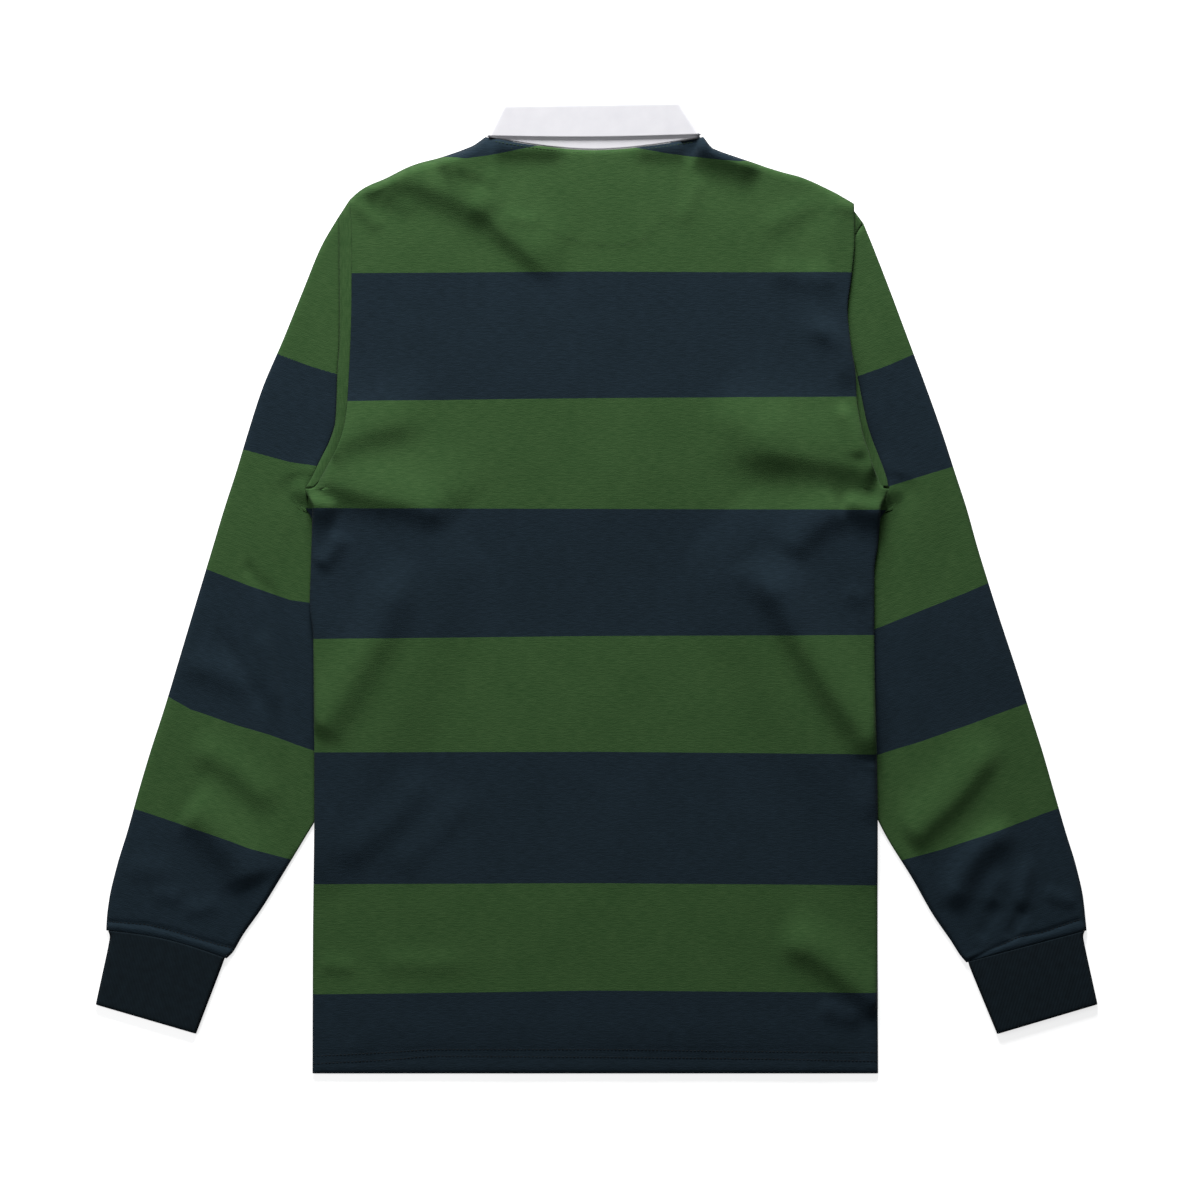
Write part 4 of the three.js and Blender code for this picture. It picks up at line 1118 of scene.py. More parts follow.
@dataclass
class Sleeve:
    """One sleeve, a flattened tube whose underarm side lies under the body."""

    side: Side
    rings: int = 150
    columns: int = 64
    hook_shape: tuple[float, ...] = (0.0, 0.15, 0.4, 0.8, 1.0, 0.0)

    def places(self, ring_at: Floats) -> Floats:
        """Places of the sleeve's rings.

        Args:
            ring_at: positions between the sections, from 0 at the armhole.

        Returns:
            Rings x columns x (across, down), from the outer fold to the underarm fold.
        """
        armhole = CUT.armhole(self.side, Edge.SLEEVE, SEAM_SLIT / 2, self.columns)
        share = np.linspace(0, 1, self.columns + 1)
        keys = np.arange(len(SLEEVE[self.side]) + 1)
        turn_share = 0.865 + (0.75 - 0.865) * smooth(0, 6, keys)
        rows = [np.concatenate([armhole[0], armhole[0] * (1 - turn_share[0]) + armhole[-1] * turn_share[0],
                                armhole[-1], [0]])]
        for index, section in enumerate(SLEEVE[self.side], start=1):
            outer, inner = (CUT.signed(self.side, [place])[0] for place in (section.outer, section.inner))
            t = turn_share[index]
            turn = CUT.signed(self.side, [section.turn])[0] if section.turn else outer * (1 - t) + inner * t
            rows.append(np.concatenate([outer, turn, inner, [section.hook]]))
        read = steady_curve(keys, rows, ring_at)
        outer, turn, inner, hook = read[:, 0:2], read[:, 2:4], read[:, 4:6], read[:, 6]
        at_turn = steady_curve(keys, turn_share, ring_at)[:, None]
        first = share[None] <= at_turn
        before = np.clip(share[None] / at_turn, 0, 1)[..., None]
        after = np.clip((share[None] - at_turn) / (1 - at_turn), 0, 1)[..., None]
        made = np.where(
            first[..., None],
            outer[:, None] * (1 - before) + turn[:, None] * before,
            turn[:, None] * (1 - after) + inner[:, None] * after,
        )
        bow = steady_curve([0, 1, 2, 3], [1, 0.2, 0, 0], ring_at)[:, None, None]
        chord = armhole[0] * (1 - share[:, None]) + armhole[-1] * share[:, None]
        made = made + bow * (armhole - chord)[None]
        shape = steady_curve(np.arange(7, 13) / 12, self.hook_shape, share)
        made[..., 0] += self.side.value * hook[:, None] * shape
        last = keys[-1]
        lift = CUFF_SEAM_BOW[self.side] * smooth(last - 1, last, ring_at)
        made[..., 1] -= lift[:, None] * np.sin(np.pi * share)
        return made

    def build(self) -> bpy.types.Object:
        """Builds the sleeve.

        Returns:
            The sleeve as a closed shell, open at its two ends.
        """
        ring_at = np.linspace(0, 1, self.rings + 1) * len(SLEEVE[self.side])
        places = self.places(ring_at)
        if self.side is Side.RIGHT:
            places = places[:, ::-1]
        x, down = places[..., 0], places[..., 1]
        upper = LAY.sleeve_upper(self.side, x, down)
        lower = LAY.sleeve_lower(self.side, x, down)
        sewing = np.array(CUFF_SEWING[self.side])
        from_cuff = nearest(places[-1], x, down)[0]
        from_sewing = nearest(sewing, x, down)[0]
        puff = np.exp(-(((from_cuff - 3.5) / 2.5) ** 2))
        upper += 0.6 * puff - 1.0 * np.exp(-((from_sewing / 1.6) ** 2))
        upper -= edge_roll(from_cuff, 0.4, 1.2)
        band = nearest(places[0], x, down)[0]
        upper -= edge_roll(band, 0.8, 3.5)
        middle = folded_ring(np.dstack([x, down, upper]), np.dstack([x, down, lower]), JERSEY / 2)
        mx, md = middle[..., 0], middle[..., 1]
        along = np.abs(mx)
        grain = np.dstack([along - SLEEVE_GRAIN * md, md + SLEEVE_GRAIN * along]) / math.hypot(1, SLEEVE_GRAIN)
        hoop = hoop_share([[(-600, 40), (600, 40)]] + SLEEVE_HOOPS[self.side], mx, md)
        sheet = Sheet(middle, JERSEY, wrap=True, hoop=hoop, grain=grain)
        return sheet.build(f"sleeve_{self.side.name.lower()}_cloth")


@dataclass
class ArmholeBand:
    """The plain band let in round one armhole."""

    side: Side
    rings: int = 12
    columns: int = 150

    def build(self) -> bpy.types.Object:
        """Builds the band.

        Returns:
            The band as a flattened tube.
        """
        body = CUT.armhole(self.side, Edge.BAND, SEAM_SLIT / 2, self.columns)
        arm = CUT.armhole(self.side, Edge.SLEEVE, -SEAM_SLIT / 2, self.columns)
        across = np.linspace(0, 1, self.rings + 1)
        places = body[None] * (1 - across)[:, None, None] + arm[None] * across[:, None, None]
        if self.side is Side.RIGHT:
            places = places[:, ::-1]
        x, down = places[..., 0], places[..., 1]
        crown = BAND_CROWN[self.side] * np.sin(np.pi * across)[:, None]
        share = np.sqrt(np.sin(np.pi * np.linspace(0, 1, self.columns + 1)).clip(0))
        upper = LAY.upper(x, down) + crown * share
        upper -= edge_roll(across[:, None] * 9.0, 0.2, 1.5)
        upper -= edge_roll((1 - across[:, None]) * 9.0, 0.8, 3.5)
        lower = LAY.lower(x, down)
        middle = folded_ring(np.dstack([x, down, upper]), np.dstack([x, down, lower]), JERSEY / 2)
        grain = np.dstack([middle[..., 1], middle[..., 0]])
        hoop = np.full(middle.shape[:2], 0.5)
        sheet = Sheet(middle, JERSEY, wrap=True, hoop=hoop, grain=grain)
        return sheet.build(f"band_{self.side.name.lower()}_cloth")


@dataclass
class Cuff:
    """One rib cuff, a flattened tube that narrows just below its seam."""

    side: Side
    rings: int = 36
    columns: int = 60

    def places(self) -> Floats:
        """Places of the cuff's rings from the seam to the open end.

        Returns:
            Rings x columns x (across, down), from the outer fold to the underarm fold.
        """
        neck, end = (CUT.signed(self.side, pair) for pair in CUFF[self.side])
        section = SLEEVE[self.side][-1]
        seam = CUT.signed(self.side, [section.outer, section.inner])
        step = (seam[1] - seam[0]) / np.linalg.norm(seam[1] - seam[0])
        seam = seam + np.array([step * CUFF_INSET, -step * CUFF_INSET]) + (0, SEAM_SLIT)
        share = np.linspace(0, 1, self.columns + 1)
        at = np.concatenate([[0, 0.25, 0.6], np.linspace(1, 2, self.rings - 2)])
        ends = steady_curve([0, 1, 2], [seam.ravel(), neck.ravel(), end.ravel()], at).reshape(-1, 2, 2)
        bow = CUFF_SEAM_BOW[self.side] * np.interp(at, [0, 1, 2], [1, 0.8, 0])
        places = ends[:, None, 0] * (1 - share)[None, :, None] + ends[:, None, 1] * share[None, :, None]
        places[..., 1] -= bow[:, None] * np.sin(np.pi * share)
        return places

    def build(self) -> bpy.types.Object:
        """Builds the cuff.

        Returns:
            The cuff as a flattened tube.
        """
        places = self.places()
        if self.side is Side.RIGHT:
            places = places[:, ::-1]
        x, down = places[..., 0], places[..., 1]
        width = np.hypot(x[:, -1] - x[:, 0], down[:, -1] - down[:, 0])[:, None]
        share = np.linspace(0, 1, self.columns + 1)
        depth = np.minimum(share, 1 - share) * width
        upper = RIB * 1.5 + SEAM_GAP + swell(depth * 1.5)
        from_end = nearest(places[-1], x, down)[0]
        upper -= edge_roll(from_end, 0.5, 2.5)
        lower = np.full_like(upper, RIB / 2)
        middle = folded_ring(np.dstack([x, down, upper]), np.dstack([x, down, lower]), RIB / 2)
        mx, md = middle[..., 0], middle[..., 1]
        lean = math.atan2(80.3, 23.6) - math.pi / 2
        axis = self.side.value * lean
        grain = np.dstack([
            mx * math.cos(axis) - md * math.sin(axis), mx * math.sin(axis) + md * math.cos(axis)
        ])
        sheet = Sheet(middle, RIB, wrap=True, grain=grain)
        return sheet.build(f"cuff_{self.side.name.lower()}_rib")


@dataclass
class Collar:
    """The stand and the leaf, two flattened tubes that are open at the front."""

    rows: int = 26
    columns: int = 91

    def back_roll(self, share: Floats, inset: float) -> Floats:
        """The fold along the top of the collar at the back.

        Args:
            share: shares from the left corner to the right one.
            inset: how far inside the fold the line runs.

        Returns:
            Places on the line.
        """
        left, right = (np.array(ROLL_CORNERS[side]) for side in Side)
        places = left + share[:, None] * (right - left)
        return np.stack([places[:, 0] * (1 - inset / ROLL_HALF_WIDTH), places[:, 1] + inset / 2], axis=1)

    def front(self, half: Callable[[Side, Floats], Floats]) -> Floats:
        """A line along the front of the collar, from the left side to the right one.

        Args:
            half: gives one side's line, from the side fold to the centre front.

        Returns:
            Places on the line, as many as the back has.
        """
        t = np.linspace(0, 1, (self.columns + 1) // 2)
        return np.vstack([half(Side.LEFT, t), half(Side.RIGHT, t)[::-1]])

    def front_roll(self, side: Side, t: Floats, inset: float, end: float) -> Floats:
        """Half of the fold along the top of the collar at the front.

        Args:
            side: the side.
            t: shares from the side fold to the centre front.
            inset: how far inside the fold the line runs.
            end: distance of its end from the centre front.

        Returns:
            Places on the line.
        """
        corner = ROLL_CORNERS[side]
        start = (corner[0] * (1 - inset / ROLL_HALF_WIDTH), corner[1] + inset / 2)
        turn = t * np.pi / 2
        reach = side.value * end
        across = reach + (start[0] - reach) * np.cos(turn).clip(0) ** 0.8
        down = start[1] + (FRONT_ROLL_DOWN - start[1]) * np.sin(turn) ** 1.3
        return np.stack([across, down], axis=1)

    def loft(self, places: Floats) -> Floats:
        """Height of the back of the stand at each place.

        Args:
            places: rows x columns x (across, down).

        Returns:
            Heights that swell between the two side folds.
        """
        gaps = [np.linalg.norm(places - places[:, k][:, None], axis=2) for k in (0, -1)]
        return FLOOR_LAYER + LEAF_RISE + LAYER + LOFT * swell(np.minimum(*gaps) * 3)

    def stand(self) -> bpy.types.Object:
        """Builds the stand.

        Returns:
            The stand.
        """
        count = self.columns
        share = np.linspace(0, 1, count + 1)
        across = -SHOULDER[Side.LEFT][0][0] + share * (SHOULDER[Side.LEFT][0][0] + SHOULDER[Side.RIGHT][0][0])
        seam = np.stack([across, CUT.back_neck(across) - SEAM_GAP], axis=1)
        seam[:, 0] *= 1 - 2.6 / NECK_HALF_WIDTH
        def seam_half(side: Side, t: Floats) -> Floats:
            neck = SHOULDER[side][0][0] - 2.6
            turn = t * np.pi / 2
            reach = (neck - STAND_END) * np.cos(turn) + STAND_END
            drop = (FRONT_NECK_DROP - 2 * SEAM_GAP) * np.sin(turn).clip(0) ** 0.85
            return CUT.signed(side, np.stack([reach, drop - SEAM_GAP], axis=1))
        front_seam = self.front(seam_half)
        front_roll = self.front(lambda side, t: self.front_roll(side, t, ROLL_INSET, STAND_END))
        rows = np.linspace(0, 1, self.rows + 1)[:, None, None]
        back = self.back_roll(share, ROLL_INSET)[None] * (1 - rows) + seam[None] * rows
        front = front_roll[None] * (1 - rows) + front_seam[None] * rows
        upper = np.dstack([back, self.loft(back)])
        lower = np.dstack([front, LAY.lower(front[..., 0], front[..., 1])])
        middle = folded_ring(upper, lower, DRILL / 2)
        gap = count + 1 + 5 + (count - 1) // 2
        grain = middle[..., :2].copy()
        return Sheet(middle, DRILL, wrap=True, grain=grain, gap_column=gap).build("collar_stand_cloth")

    def leaf(self) -> bpy.types.Object:
        """Builds the leaf, whose top edge rolls over the stand.

        Returns:
            The leaf.
        """
        count = self.columns
        share = np.linspace(0, 1, count + 1)
        left, right = (np.array(LEAF_SIDE[side]) for side in Side)
        edge = left + share[:, None] * (right - left)
        edge[:, 1] += 1.6 * np.sin(np.pi * share)
        def edge_half(side: Side, t: Floats) -> Floats:
            start, point = np.array(LEAF_SIDE[side]), np.array([side.value * LEAF_POINT[0], LEAF_POINT[1]])
            line = start + t[:, None] * (point - start)
            line[:, 0] += side.value * 6 * np.sin(np.pi * t)
            return line
        front_edge = self.front(edge_half)
        front_roll = self.front(lambda side, t: self.front_roll(side, t, 0, LEAF_END))
        rows = np.concatenate([[0, 0.012, 0.03, 0.06], np.linspace(0.1, 1, self.rows - 3)])[:, None, None]
        back = self.back_roll(share, 0)[None] * (1 - rows) + edge[None] * rows
        front = front_roll[None] * (1 - rows) + front_edge[None] * rows
        spring = LEAF_LIFT * rows[..., 0] * np.sin(np.pi * share)
        roll = 1.3 * np.clip(1 - rows[..., 0] / 0.06, 0, 1) ** 2
        upper = np.dstack([back, self.loft(back) + DRILL + SEAM_GAP + spring - roll])
        lower = np.dstack([front, np.full(front.shape[:2], DRILL / 2)])
        middle = folded_ring(upper, lower, DRILL / 2)
        gap = count + 1 + 5 + (count - 1) // 2
        grain = middle[..., :2].copy()
        return Sheet(middle, DRILL, wrap=True, grain=grain, gap_column=gap).build("collar_leaf_cloth")


@dataclass
class Placket:
    """The strip that fills the slit of the front; it holds sizes for the buttons but builds only the strip."""

    rows: int = 80
    columns: int = 16
    button_radius: float = 5.5
    button_down: tuple[float, ...] = (100.0, 150.0, 200.0)

    def strip(self) -> bpy.types.Object:
        """Builds the strip.

        Returns:
            The strip.
        """
        low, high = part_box("placket")
        down = np.linspace(SIDE_NECK_Y - high[1] / MM, SIDE_NECK_Y - low[1] / MM, self.rows + 1)
        across = np.linspace(low[0], high[0], self.columns + 1) / MM
        x, d = np.meshgrid(across, down)
        edge = np.minimum(np.abs(x - across[0]), np.abs(across[-1] - x))
        up = np.full_like(x, FLOOR_LAYER + PLACKET_RISE) + 0.25 * np.exp(-(((edge - 2.5) / 0.8) ** 2))
        return Sheet(np.dstack([x, d, up]), 0.9, grain=np.dstack([x, d])).build("placket_cloth")


# Colours

def linear(code: str) -> tuple[float, float, float, float]:
    """Turns an sRGB hex colour into the linear values that a shader takes.

    Args:
        code: six hex digits after a number sign.

    Returns:
        Red, green, blue and alpha.
    """
    parts = [int(code[i : i + 2], 16) / 255 for i in (1, 3, 5)]
    straight = [v / 12.92 if v <= 0.04045 else ((v + 0.055) / 1.055) ** 2.4 for v in parts]
    return (*straight, 1.0)


def add_node(
    tree: bpy.types.NodeTree, kind: str, settings: dict | None = None, inputs: dict | None = None
) -> bpy.types.Node:
    """Adds a node with its settings and links.

    Args:
        tree: the node tree.
        kind: the node's type.
        settings: properties to set.
        inputs: value, or output socket to link, for each input by name or number.

    Returns:
        The node.
    """
    node = tree.nodes.new(kind)
    for key, value in (settings or {}).items():
        setattr(node, key, value)
    for key, value in (inputs or {}).items():
        socket = node.inputs[key]
        if isinstance(value, bpy.types.NodeSocket):
            tree.links.new(value, socket)
        else:
            socket.default_value = value
    return node


def new_material(name: str) -> tuple[bpy.types.Material, bpy.types.NodeTree]:
    """Starts a material with an empty node tree.

    Args:
        name: the material's name.

    Returns:
        The material and its tree.
    """
    material = bpy.data.materials.new(name)
    material.use_nodes = True
    material.node_tree.nodes.clear()
    return material, material.node_tree


@dataclass(frozen=True)
class JerseyFinish:
    """Heavy cotton jersey, knitted in courses across the cloth and brushed soft.

    Its yarn-dyed hoops give clean edges, its courses give faint streaks, and its loops catch a
    little sheen.
    """

    name: str = "cotton_jersey_hooped"
    green: str = "#3E5B34"
    green_dark: str = "#32502B"
    navy: str = "#1F2D37"
    navy_dark: str = "#18252D"
    wale: float = 1.6        # spacing of the loops, drawn coarser than the real 1.1 mm so that it shows
    course: float = 1.2
    streak_length: float = 8.0
    streak_width: float = 1.2

    def build(self) -> bpy.types.Material:
        """Builds the material.

        Returns:
            The material.
        """
        material, tree = new_material(self.name)
        uv = add_node(tree, "ShaderNodeUVMap", {"uv_map": "grain"})
        hoop = add_node(tree, "ShaderNodeAttribute", {"attribute_name": "hoop"})
        half = add_node(tree, "ShaderNodeMath", {"operation": "MULTIPLY"}, {0: hoop.outputs["Fac"], 1: 0.5})
        part = add_node(tree, "ShaderNodeMath", {"operation": "FRACT"}, {0: half.outputs[0]})
        navy = add_node(tree, "ShaderNodeMath", {"operation": "GREATER_THAN"}, {0: part.outputs[0], 1: 0.5})
        stretch = add_node(
            tree, "ShaderNodeVectorMath", {"operation": "MULTIPLY"},
            {0: uv.outputs[0], 1: (1 / (self.streak_length * MM), 1 / (self.streak_width * MM), 1)},
        )
        streak = add_node(
            tree, "ShaderNodeTexNoise", {"noise_dimensions": "2D"},
            {"Vector": stretch.outputs[0], "Scale": 1.0, "Detail": 3.0, "Roughness": 0.6},
        )
        blotch = add_node(
            tree, "ShaderNodeTexNoise", {"noise_dimensions": "2D"},
            {"Vector": uv.outputs[0], "Scale": 1 / (35 * MM), "Detail": 3.0, "Roughness": 0.55},
        )
        both = add_node(
            tree, "ShaderNodeMix", {"data_type": "FLOAT"},
            {0: 0.2, 2: streak.outputs[0], 3: blotch.outputs[0]},
        )
        spread = add_node(
            tree, "ShaderNodeMapRange", {},
            {"Value": both.outputs[0], "From Min": 0.33, "From Max": 0.67, "To Min": 0.0, "To Max": 1.0},
        )
        greens = add_node(
            tree, "ShaderNodeMix", {"data_type": "RGBA"},
            {0: spread.outputs[0], 6: linear(self.green_dark), 7: linear(self.green)},
        )
        navies = add_node(
            tree, "ShaderNodeMix", {"data_type": "RGBA"},
            {0: spread.outputs[0], 6: linear(self.navy_dark), 7: linear(self.navy)},
        )
        colour = add_node(
            tree, "ShaderNodeMix", {"data_type": "RGBA"},
            {0: navy.outputs[0], 6: greens.outputs[2], 7: navies.outputs[2]},
        )
        loops = self.loops(tree, uv)
        bump = add_node(
            tree, "ShaderNodeBump", {}, {"Strength": 0.2, "Distance": 0.16 * MM, "Height": loops}
        )
        shader = add_node(
            tree, "ShaderNodeBsdfPrincipled", {},
            {
                "Base Color": colour.outputs[2], "Roughness": 0.95, "Normal": bump.outputs[0],
                "Sheen Weight": 0.04, "Sheen Roughness": 0.5, "Specular IOR Level": 0.1,
            },
        )
        add_node(tree, "ShaderNodeOutputMaterial", {}, {"Surface": shader.outputs[0]})
        return material

    def loops(self, tree: bpy.types.NodeTree, uv: bpy.types.Node) -> bpy.types.NodeSocket:
        """Height of the knitted loops.

        Args:
            tree: the material's tree.
            uv: the node that gives the place in the cloth.

        Returns:
            The height socket.
        """
        scale = add_node(
            tree, "ShaderNodeVectorMath", {"operation": "MULTIPLY"},
            {0: uv.outputs[0], 1: (math.tau / (self.wale * MM), math.tau / (self.course * MM), 1)},
        )
        sway = add_node(
            tree, "ShaderNodeTexNoise", {"noise_dimensions": "2D"},
            {"Vector": uv.outputs[0], "Scale": 1 / (5 * MM), "Detail": 2.0},
        )
        swayed = add_node(
            tree, "ShaderNodeVectorMath", {"operation": "MULTIPLY_ADD"},
            {0: sway.outputs["Color"], 1: (9.0, 14.0, 0.0), 2: scale.outputs[0]},
        )
        split = add_node(tree, "ShaderNodeSeparateXYZ", {}, {0: swayed.outputs[0]})
        wale = add_node(tree, "ShaderNodeMath", {"operation": "SINE"}, {0: split.outputs[0]})
        course = add_node(tree, "ShaderNodeMath", {"operation": "SINE"}, {0: split.outputs[1]})
        knit = add_node(
            tree, "ShaderNodeMath", {"operation": "MULTIPLY_ADD"}, {0: wale.outputs[0], 1: 0.5, 2: course.outputs[0]}
        )
        fuzz = add_node(
            tree, "ShaderNodeTexNoise", {"noise_dimensions": "2D"},
            {"Vector": uv.outputs[0], "Scale": 1 / (2.2 * MM), "Detail": 2.0},
        )
        both = add_node(
            tree, "ShaderNodeMath", {"operation": "MULTIPLY_ADD"}, {0: fuzz.outputs[0], 1: 3.0, 2: knit.outputs[0]}
        )
        return both.outputs[0]


@dataclass(frozen=True)
class RibFinish:
    """Fine cotton rib, plain navy, whose ribs run along the arm and almost close up."""

    name: str = "cotton_rib_navy"
    light: str = "#18242B"
    dark: str = "#10181D"
    rib: float = 2.4

    def build(self) -> bpy.types.Material:
        """Builds the material.

        Returns:
            The material.
        """
        material, tree = new_material(self.name)
        uv = add_node(tree, "ShaderNodeUVMap", {"uv_map": "grain"})
        scale = add_node(
            tree, "ShaderNodeVectorMath", {"operation": "MULTIPLY"},
            {0: uv.outputs[0], 1: (math.tau / (self.rib * MM), 1 / (3 * MM), 1)},
        )
        split = add_node(tree, "ShaderNodeSeparateXYZ", {}, {0: scale.outputs[0]})
        rib = add_node(tree, "ShaderNodeMath", {"operation": "SINE"}, {0: split.outputs[0]})
        noise = add_node(
            tree, "ShaderNodeTexNoise", {"noise_dimensions": "2D"},
            {"Vector": uv.outputs[0], "Scale": 1 / (6 * MM), "Detail": 4.0},
        )
        colour = add_node(
            tree, "ShaderNodeMix", {"data_type": "RGBA"},
            {0: noise.outputs[0], 6: linear(self.dark), 7: linear(self.light)},
        )
        bump = add_node(
            tree, "ShaderNodeBump", {}, {"Strength": 0.3, "Distance": 0.2 * MM, "Height": rib.outputs[0]}
        )
        shader = add_node(
            tree, "ShaderNodeBsdfPrincipled", {},
            {
                "Base Color": colour.outputs[2], "Roughness": 0.95, "Normal": bump.outputs[0],
                "Sheen Weight": 0.03, "Specular IOR Level": 0.1,
            },
        )
        add_node(tree, "ShaderNodeOutputMaterial", {}, {"Surface": shader.outputs[0]})
        return material


@dataclass(frozen=True)
class DrillFinish:
    """Bleached cotton drill, a firm twill with fine diagonal lines."""

    name: str = "cotton_drill_white"
    light: str = "#E9E8EC"
    dark: str = "#DFDEE3"
    twill: float = 1.4       # drawn coarser than the real 0.6 mm so that it shows

    def build(self) -> bpy.types.Material:
        """Builds the material.

        Returns:
            The material.
        """
        material, tree = new_material(self.name)
        uv = add_node(tree, "ShaderNodeUVMap", {"uv_map": "grain"})
        rate = math.tau / (self.twill * MM * math.sqrt(2))
        scale = add_node(
            tree, "ShaderNodeVectorMath", {"operation": "DOT_PRODUCT"}, {0: uv.outputs[0], 1: (rate, rate, 0)}
        )
        twill = add_node(tree, "ShaderNodeMath", {"operation": "SINE"}, {0: scale.outputs["Value"]})
        noise = add_node(
            tree, "ShaderNodeTexNoise", {"noise_dimensions": "2D"},
            {"Vector": uv.outputs[0], "Scale": 1 / (12 * MM), "Detail": 3.0},
        )
        colour = add_node(
            tree, "ShaderNodeMix", {"data_type": "RGBA"},
            {0: noise.outputs[0], 6: linear(self.dark), 7: linear(self.light)},
        )
        bump = add_node(
            tree, "ShaderNodeBump", {}, {"Strength": 0.12, "Distance": 0.12 * MM, "Height": twill.outputs[0]}
        )
        shader = add_node(
            tree, "ShaderNodeBsdfPrincipled", {},
            {
                "Base Color": colour.outputs[2], "Roughness": 0.85, "Normal": bump.outputs[0],
                "Specular IOR Level": 0.3,
            },
        )
        add_node(tree, "ShaderNodeOutputMaterial", {}, {"Surface": shader.outputs[0]})
        return material


@dataclass(frozen=True)
class PlainFinish:
    """A finish of one slightly uneven colour: sewing thread, a rubber button or the floor."""

    name: str
    light: str
    dark: str
    grain: float             # size of the unevenness in millimetres
    roughness: float
    glow: float = 0.0        # how much light it gives of its own

    def build(self) -> bpy.types.Material:
        """Builds the material.

        Returns:
            The material.
        """
        material, tree = new_material(self.name)
        place = add_node(tree, "ShaderNodeTexCoord")
        noise = add_node(
            tree, "ShaderNodeTexNoise", {},
            {"Vector": place.outputs["Object"], "Scale": 1 / (self.grain * MM), "Detail": 2.0},
        )
        colour = add_node(
            tree, "ShaderNodeMix", {"data_type": "RGBA"},
            {0: noise.outputs[0], 6: linear(self.dark), 7: linear(self.light)},
        )
        bump = add_node(
            tree, "ShaderNodeBump", {}, {"Strength": 0.05, "Distance": 0.1 * MM, "Height": noise.outputs[0]}
        )
        shader = add_node(
            tree, "ShaderNodeBsdfPrincipled", {},
            {
                "Base Color": colour.outputs[2], "Roughness": self.roughness, "Normal": bump.outputs[0],
                "Specular IOR Level": 0.3, "Emission Color": (1, 1, 1, 1), "Emission Strength": self.glow,
            },
        )
        add_node(tree, "ShaderNodeOutputMaterial", {}, {"Surface": shader.outputs[0]})
        return material


GREEN_THREAD = PlainFinish("polyester_thread_green", "#304A2A", "#263C21", 1.0, 0.6)
NAVY_THREAD = PlainFinish("polyester_thread_navy", "#10171B", "#0B1013", 1.0, 0.8)
WHITE_THREAD = PlainFinish("polyester_thread_white", "#E4E3E8", "#D8D7DC", 1.0, 0.6)
RUBBER = PlainFinish("moulded_rubber_white", "#E9E8E4", "#E0DFDA", 4.0, 0.55)
FLOOR = PlainFinish("opal_table_pale", "#F4F4F4", "#F2F2F2", 200.0, 0.95, glow=0.7)


@dataclass
class Sewing:
    """Rows of stitches laid along lines on the cloth by one node tree."""

    pitch: float = 3.0
    length: float = 2.2
    width: float = 0.55
    made: list[bpy.types.Object] = field(default_factory=list)

    def tree(self, material: bpy.types.Material) -> bpy.types.NodeTree:
        """Builds the tree that lays stitches along edges.

        Args:
            material: the thread's material.

        Returns:
            The geometry node tree.
        """
        tree = bpy.data.node_groups.new(f"stitches_{material.name}", "GeometryNodeTree")
        tree.interface.new_socket("Line", in_out="INPUT", socket_type="NodeSocketGeometry")
        for label in ("Pitch", "Length", "Width"):
            tree.interface.new_socket(label, in_out="INPUT", socket_type="NodeSocketFloat")
        tree.interface.new_socket("Stitches", in_out="OUTPUT", socket_type="NodeSocketGeometry")
        start = add_node(tree, "NodeGroupInput")
        curve = add_node(tree, "GeometryNodeMeshToCurve", {}, {"Mesh": start.outputs["Line"]})
        points = add_node(
            tree, "GeometryNodeCurveToPoints", {"mode": "LENGTH"},
            {"Curve": curve.outputs[0], "Length": start.outputs["Pitch"]},
        )
        ball = add_node(tree, "GeometryNodeMeshUVSphere", {}, {"Segments": 6, "Rings": 5, "Radius": 0.5})
        size = add_node(
            tree, "ShaderNodeCombineXYZ", {},
            {0: start.outputs["Width"], 1: start.outputs["Width"], 2: start.outputs["Length"]},
        )
        turn = add_node(
            tree, "FunctionNodeAlignRotationToVector", {"axis": "Z"}, {"Vector": points.outputs["Tangent"]}
        )
        placed = add_node(
            tree, "GeometryNodeInstanceOnPoints", {},
            {
                "Points": points.outputs["Points"], "Instance": ball.outputs["Mesh"],
                "Rotation": turn.outputs[0], "Scale": size.outputs[0],
            },
        )
        real = add_node(tree, "GeometryNodeRealizeInstances", {}, {"Geometry": placed.outputs[0]})
        dressed = add_node(
            tree, "GeometryNodeSetMaterial", {}, {"Geometry": real.outputs[0], "Material": material}
        )
        add_node(tree, "NodeGroupOutput", {}, {"Stitches": dressed.outputs[0]})
        return tree

    def lay(self, name: str, lines: Sequence[Floats], material: bpy.types.Material) -> bpy.types.Object:
        """Lays stitches along lines.

        Args:
            name: the object's name.
            lines: places across, down and up along each row of stitches.
            material: the thread's material.

        Returns:
            The stitches as a plain mesh.
        """
        points: list[Floats] = []
        edges: list[tuple[int, int]] = []
        for line in lines:
            start = sum(len(p) for p in points)
            points.append(Sheet.world(line) * MM)
            edges += [(start + i, start + i + 1) for i in range(len(line) - 1)]
        mesh = bpy.data.meshes.new(name)
        mesh.from_pydata(np.vstack(points).tolist(), edges, [])
        made = bpy.data.objects.new(name, mesh)
        bpy.context.scene.collection.objects.link(made)
        modifier = made.modifiers.new("stitches", "NODES")
        modifier.node_group = self.tree(material)
        sizes = {"Pitch": self.pitch, "Length": self.length, "Width": self.width}
        for item in modifier.node_group.interface.items_tree:
            if item.in_out == "INPUT" and item.name in sizes:
                modifier[item.identifier] = sizes[item.name] * MM
        bpy.context.view_layer.update()
        depsgraph = bpy.context.evaluated_depsgraph_get()
        result = bpy.data.meshes.new_from_object(made.evaluated_get(depsgraph))
        made.modifiers.remove(modifier)
        made.data = result
        result.polygons.foreach_set("use_smooth", np.ones(len(result.polygons), bool))
        self.made.append(made)
        return made


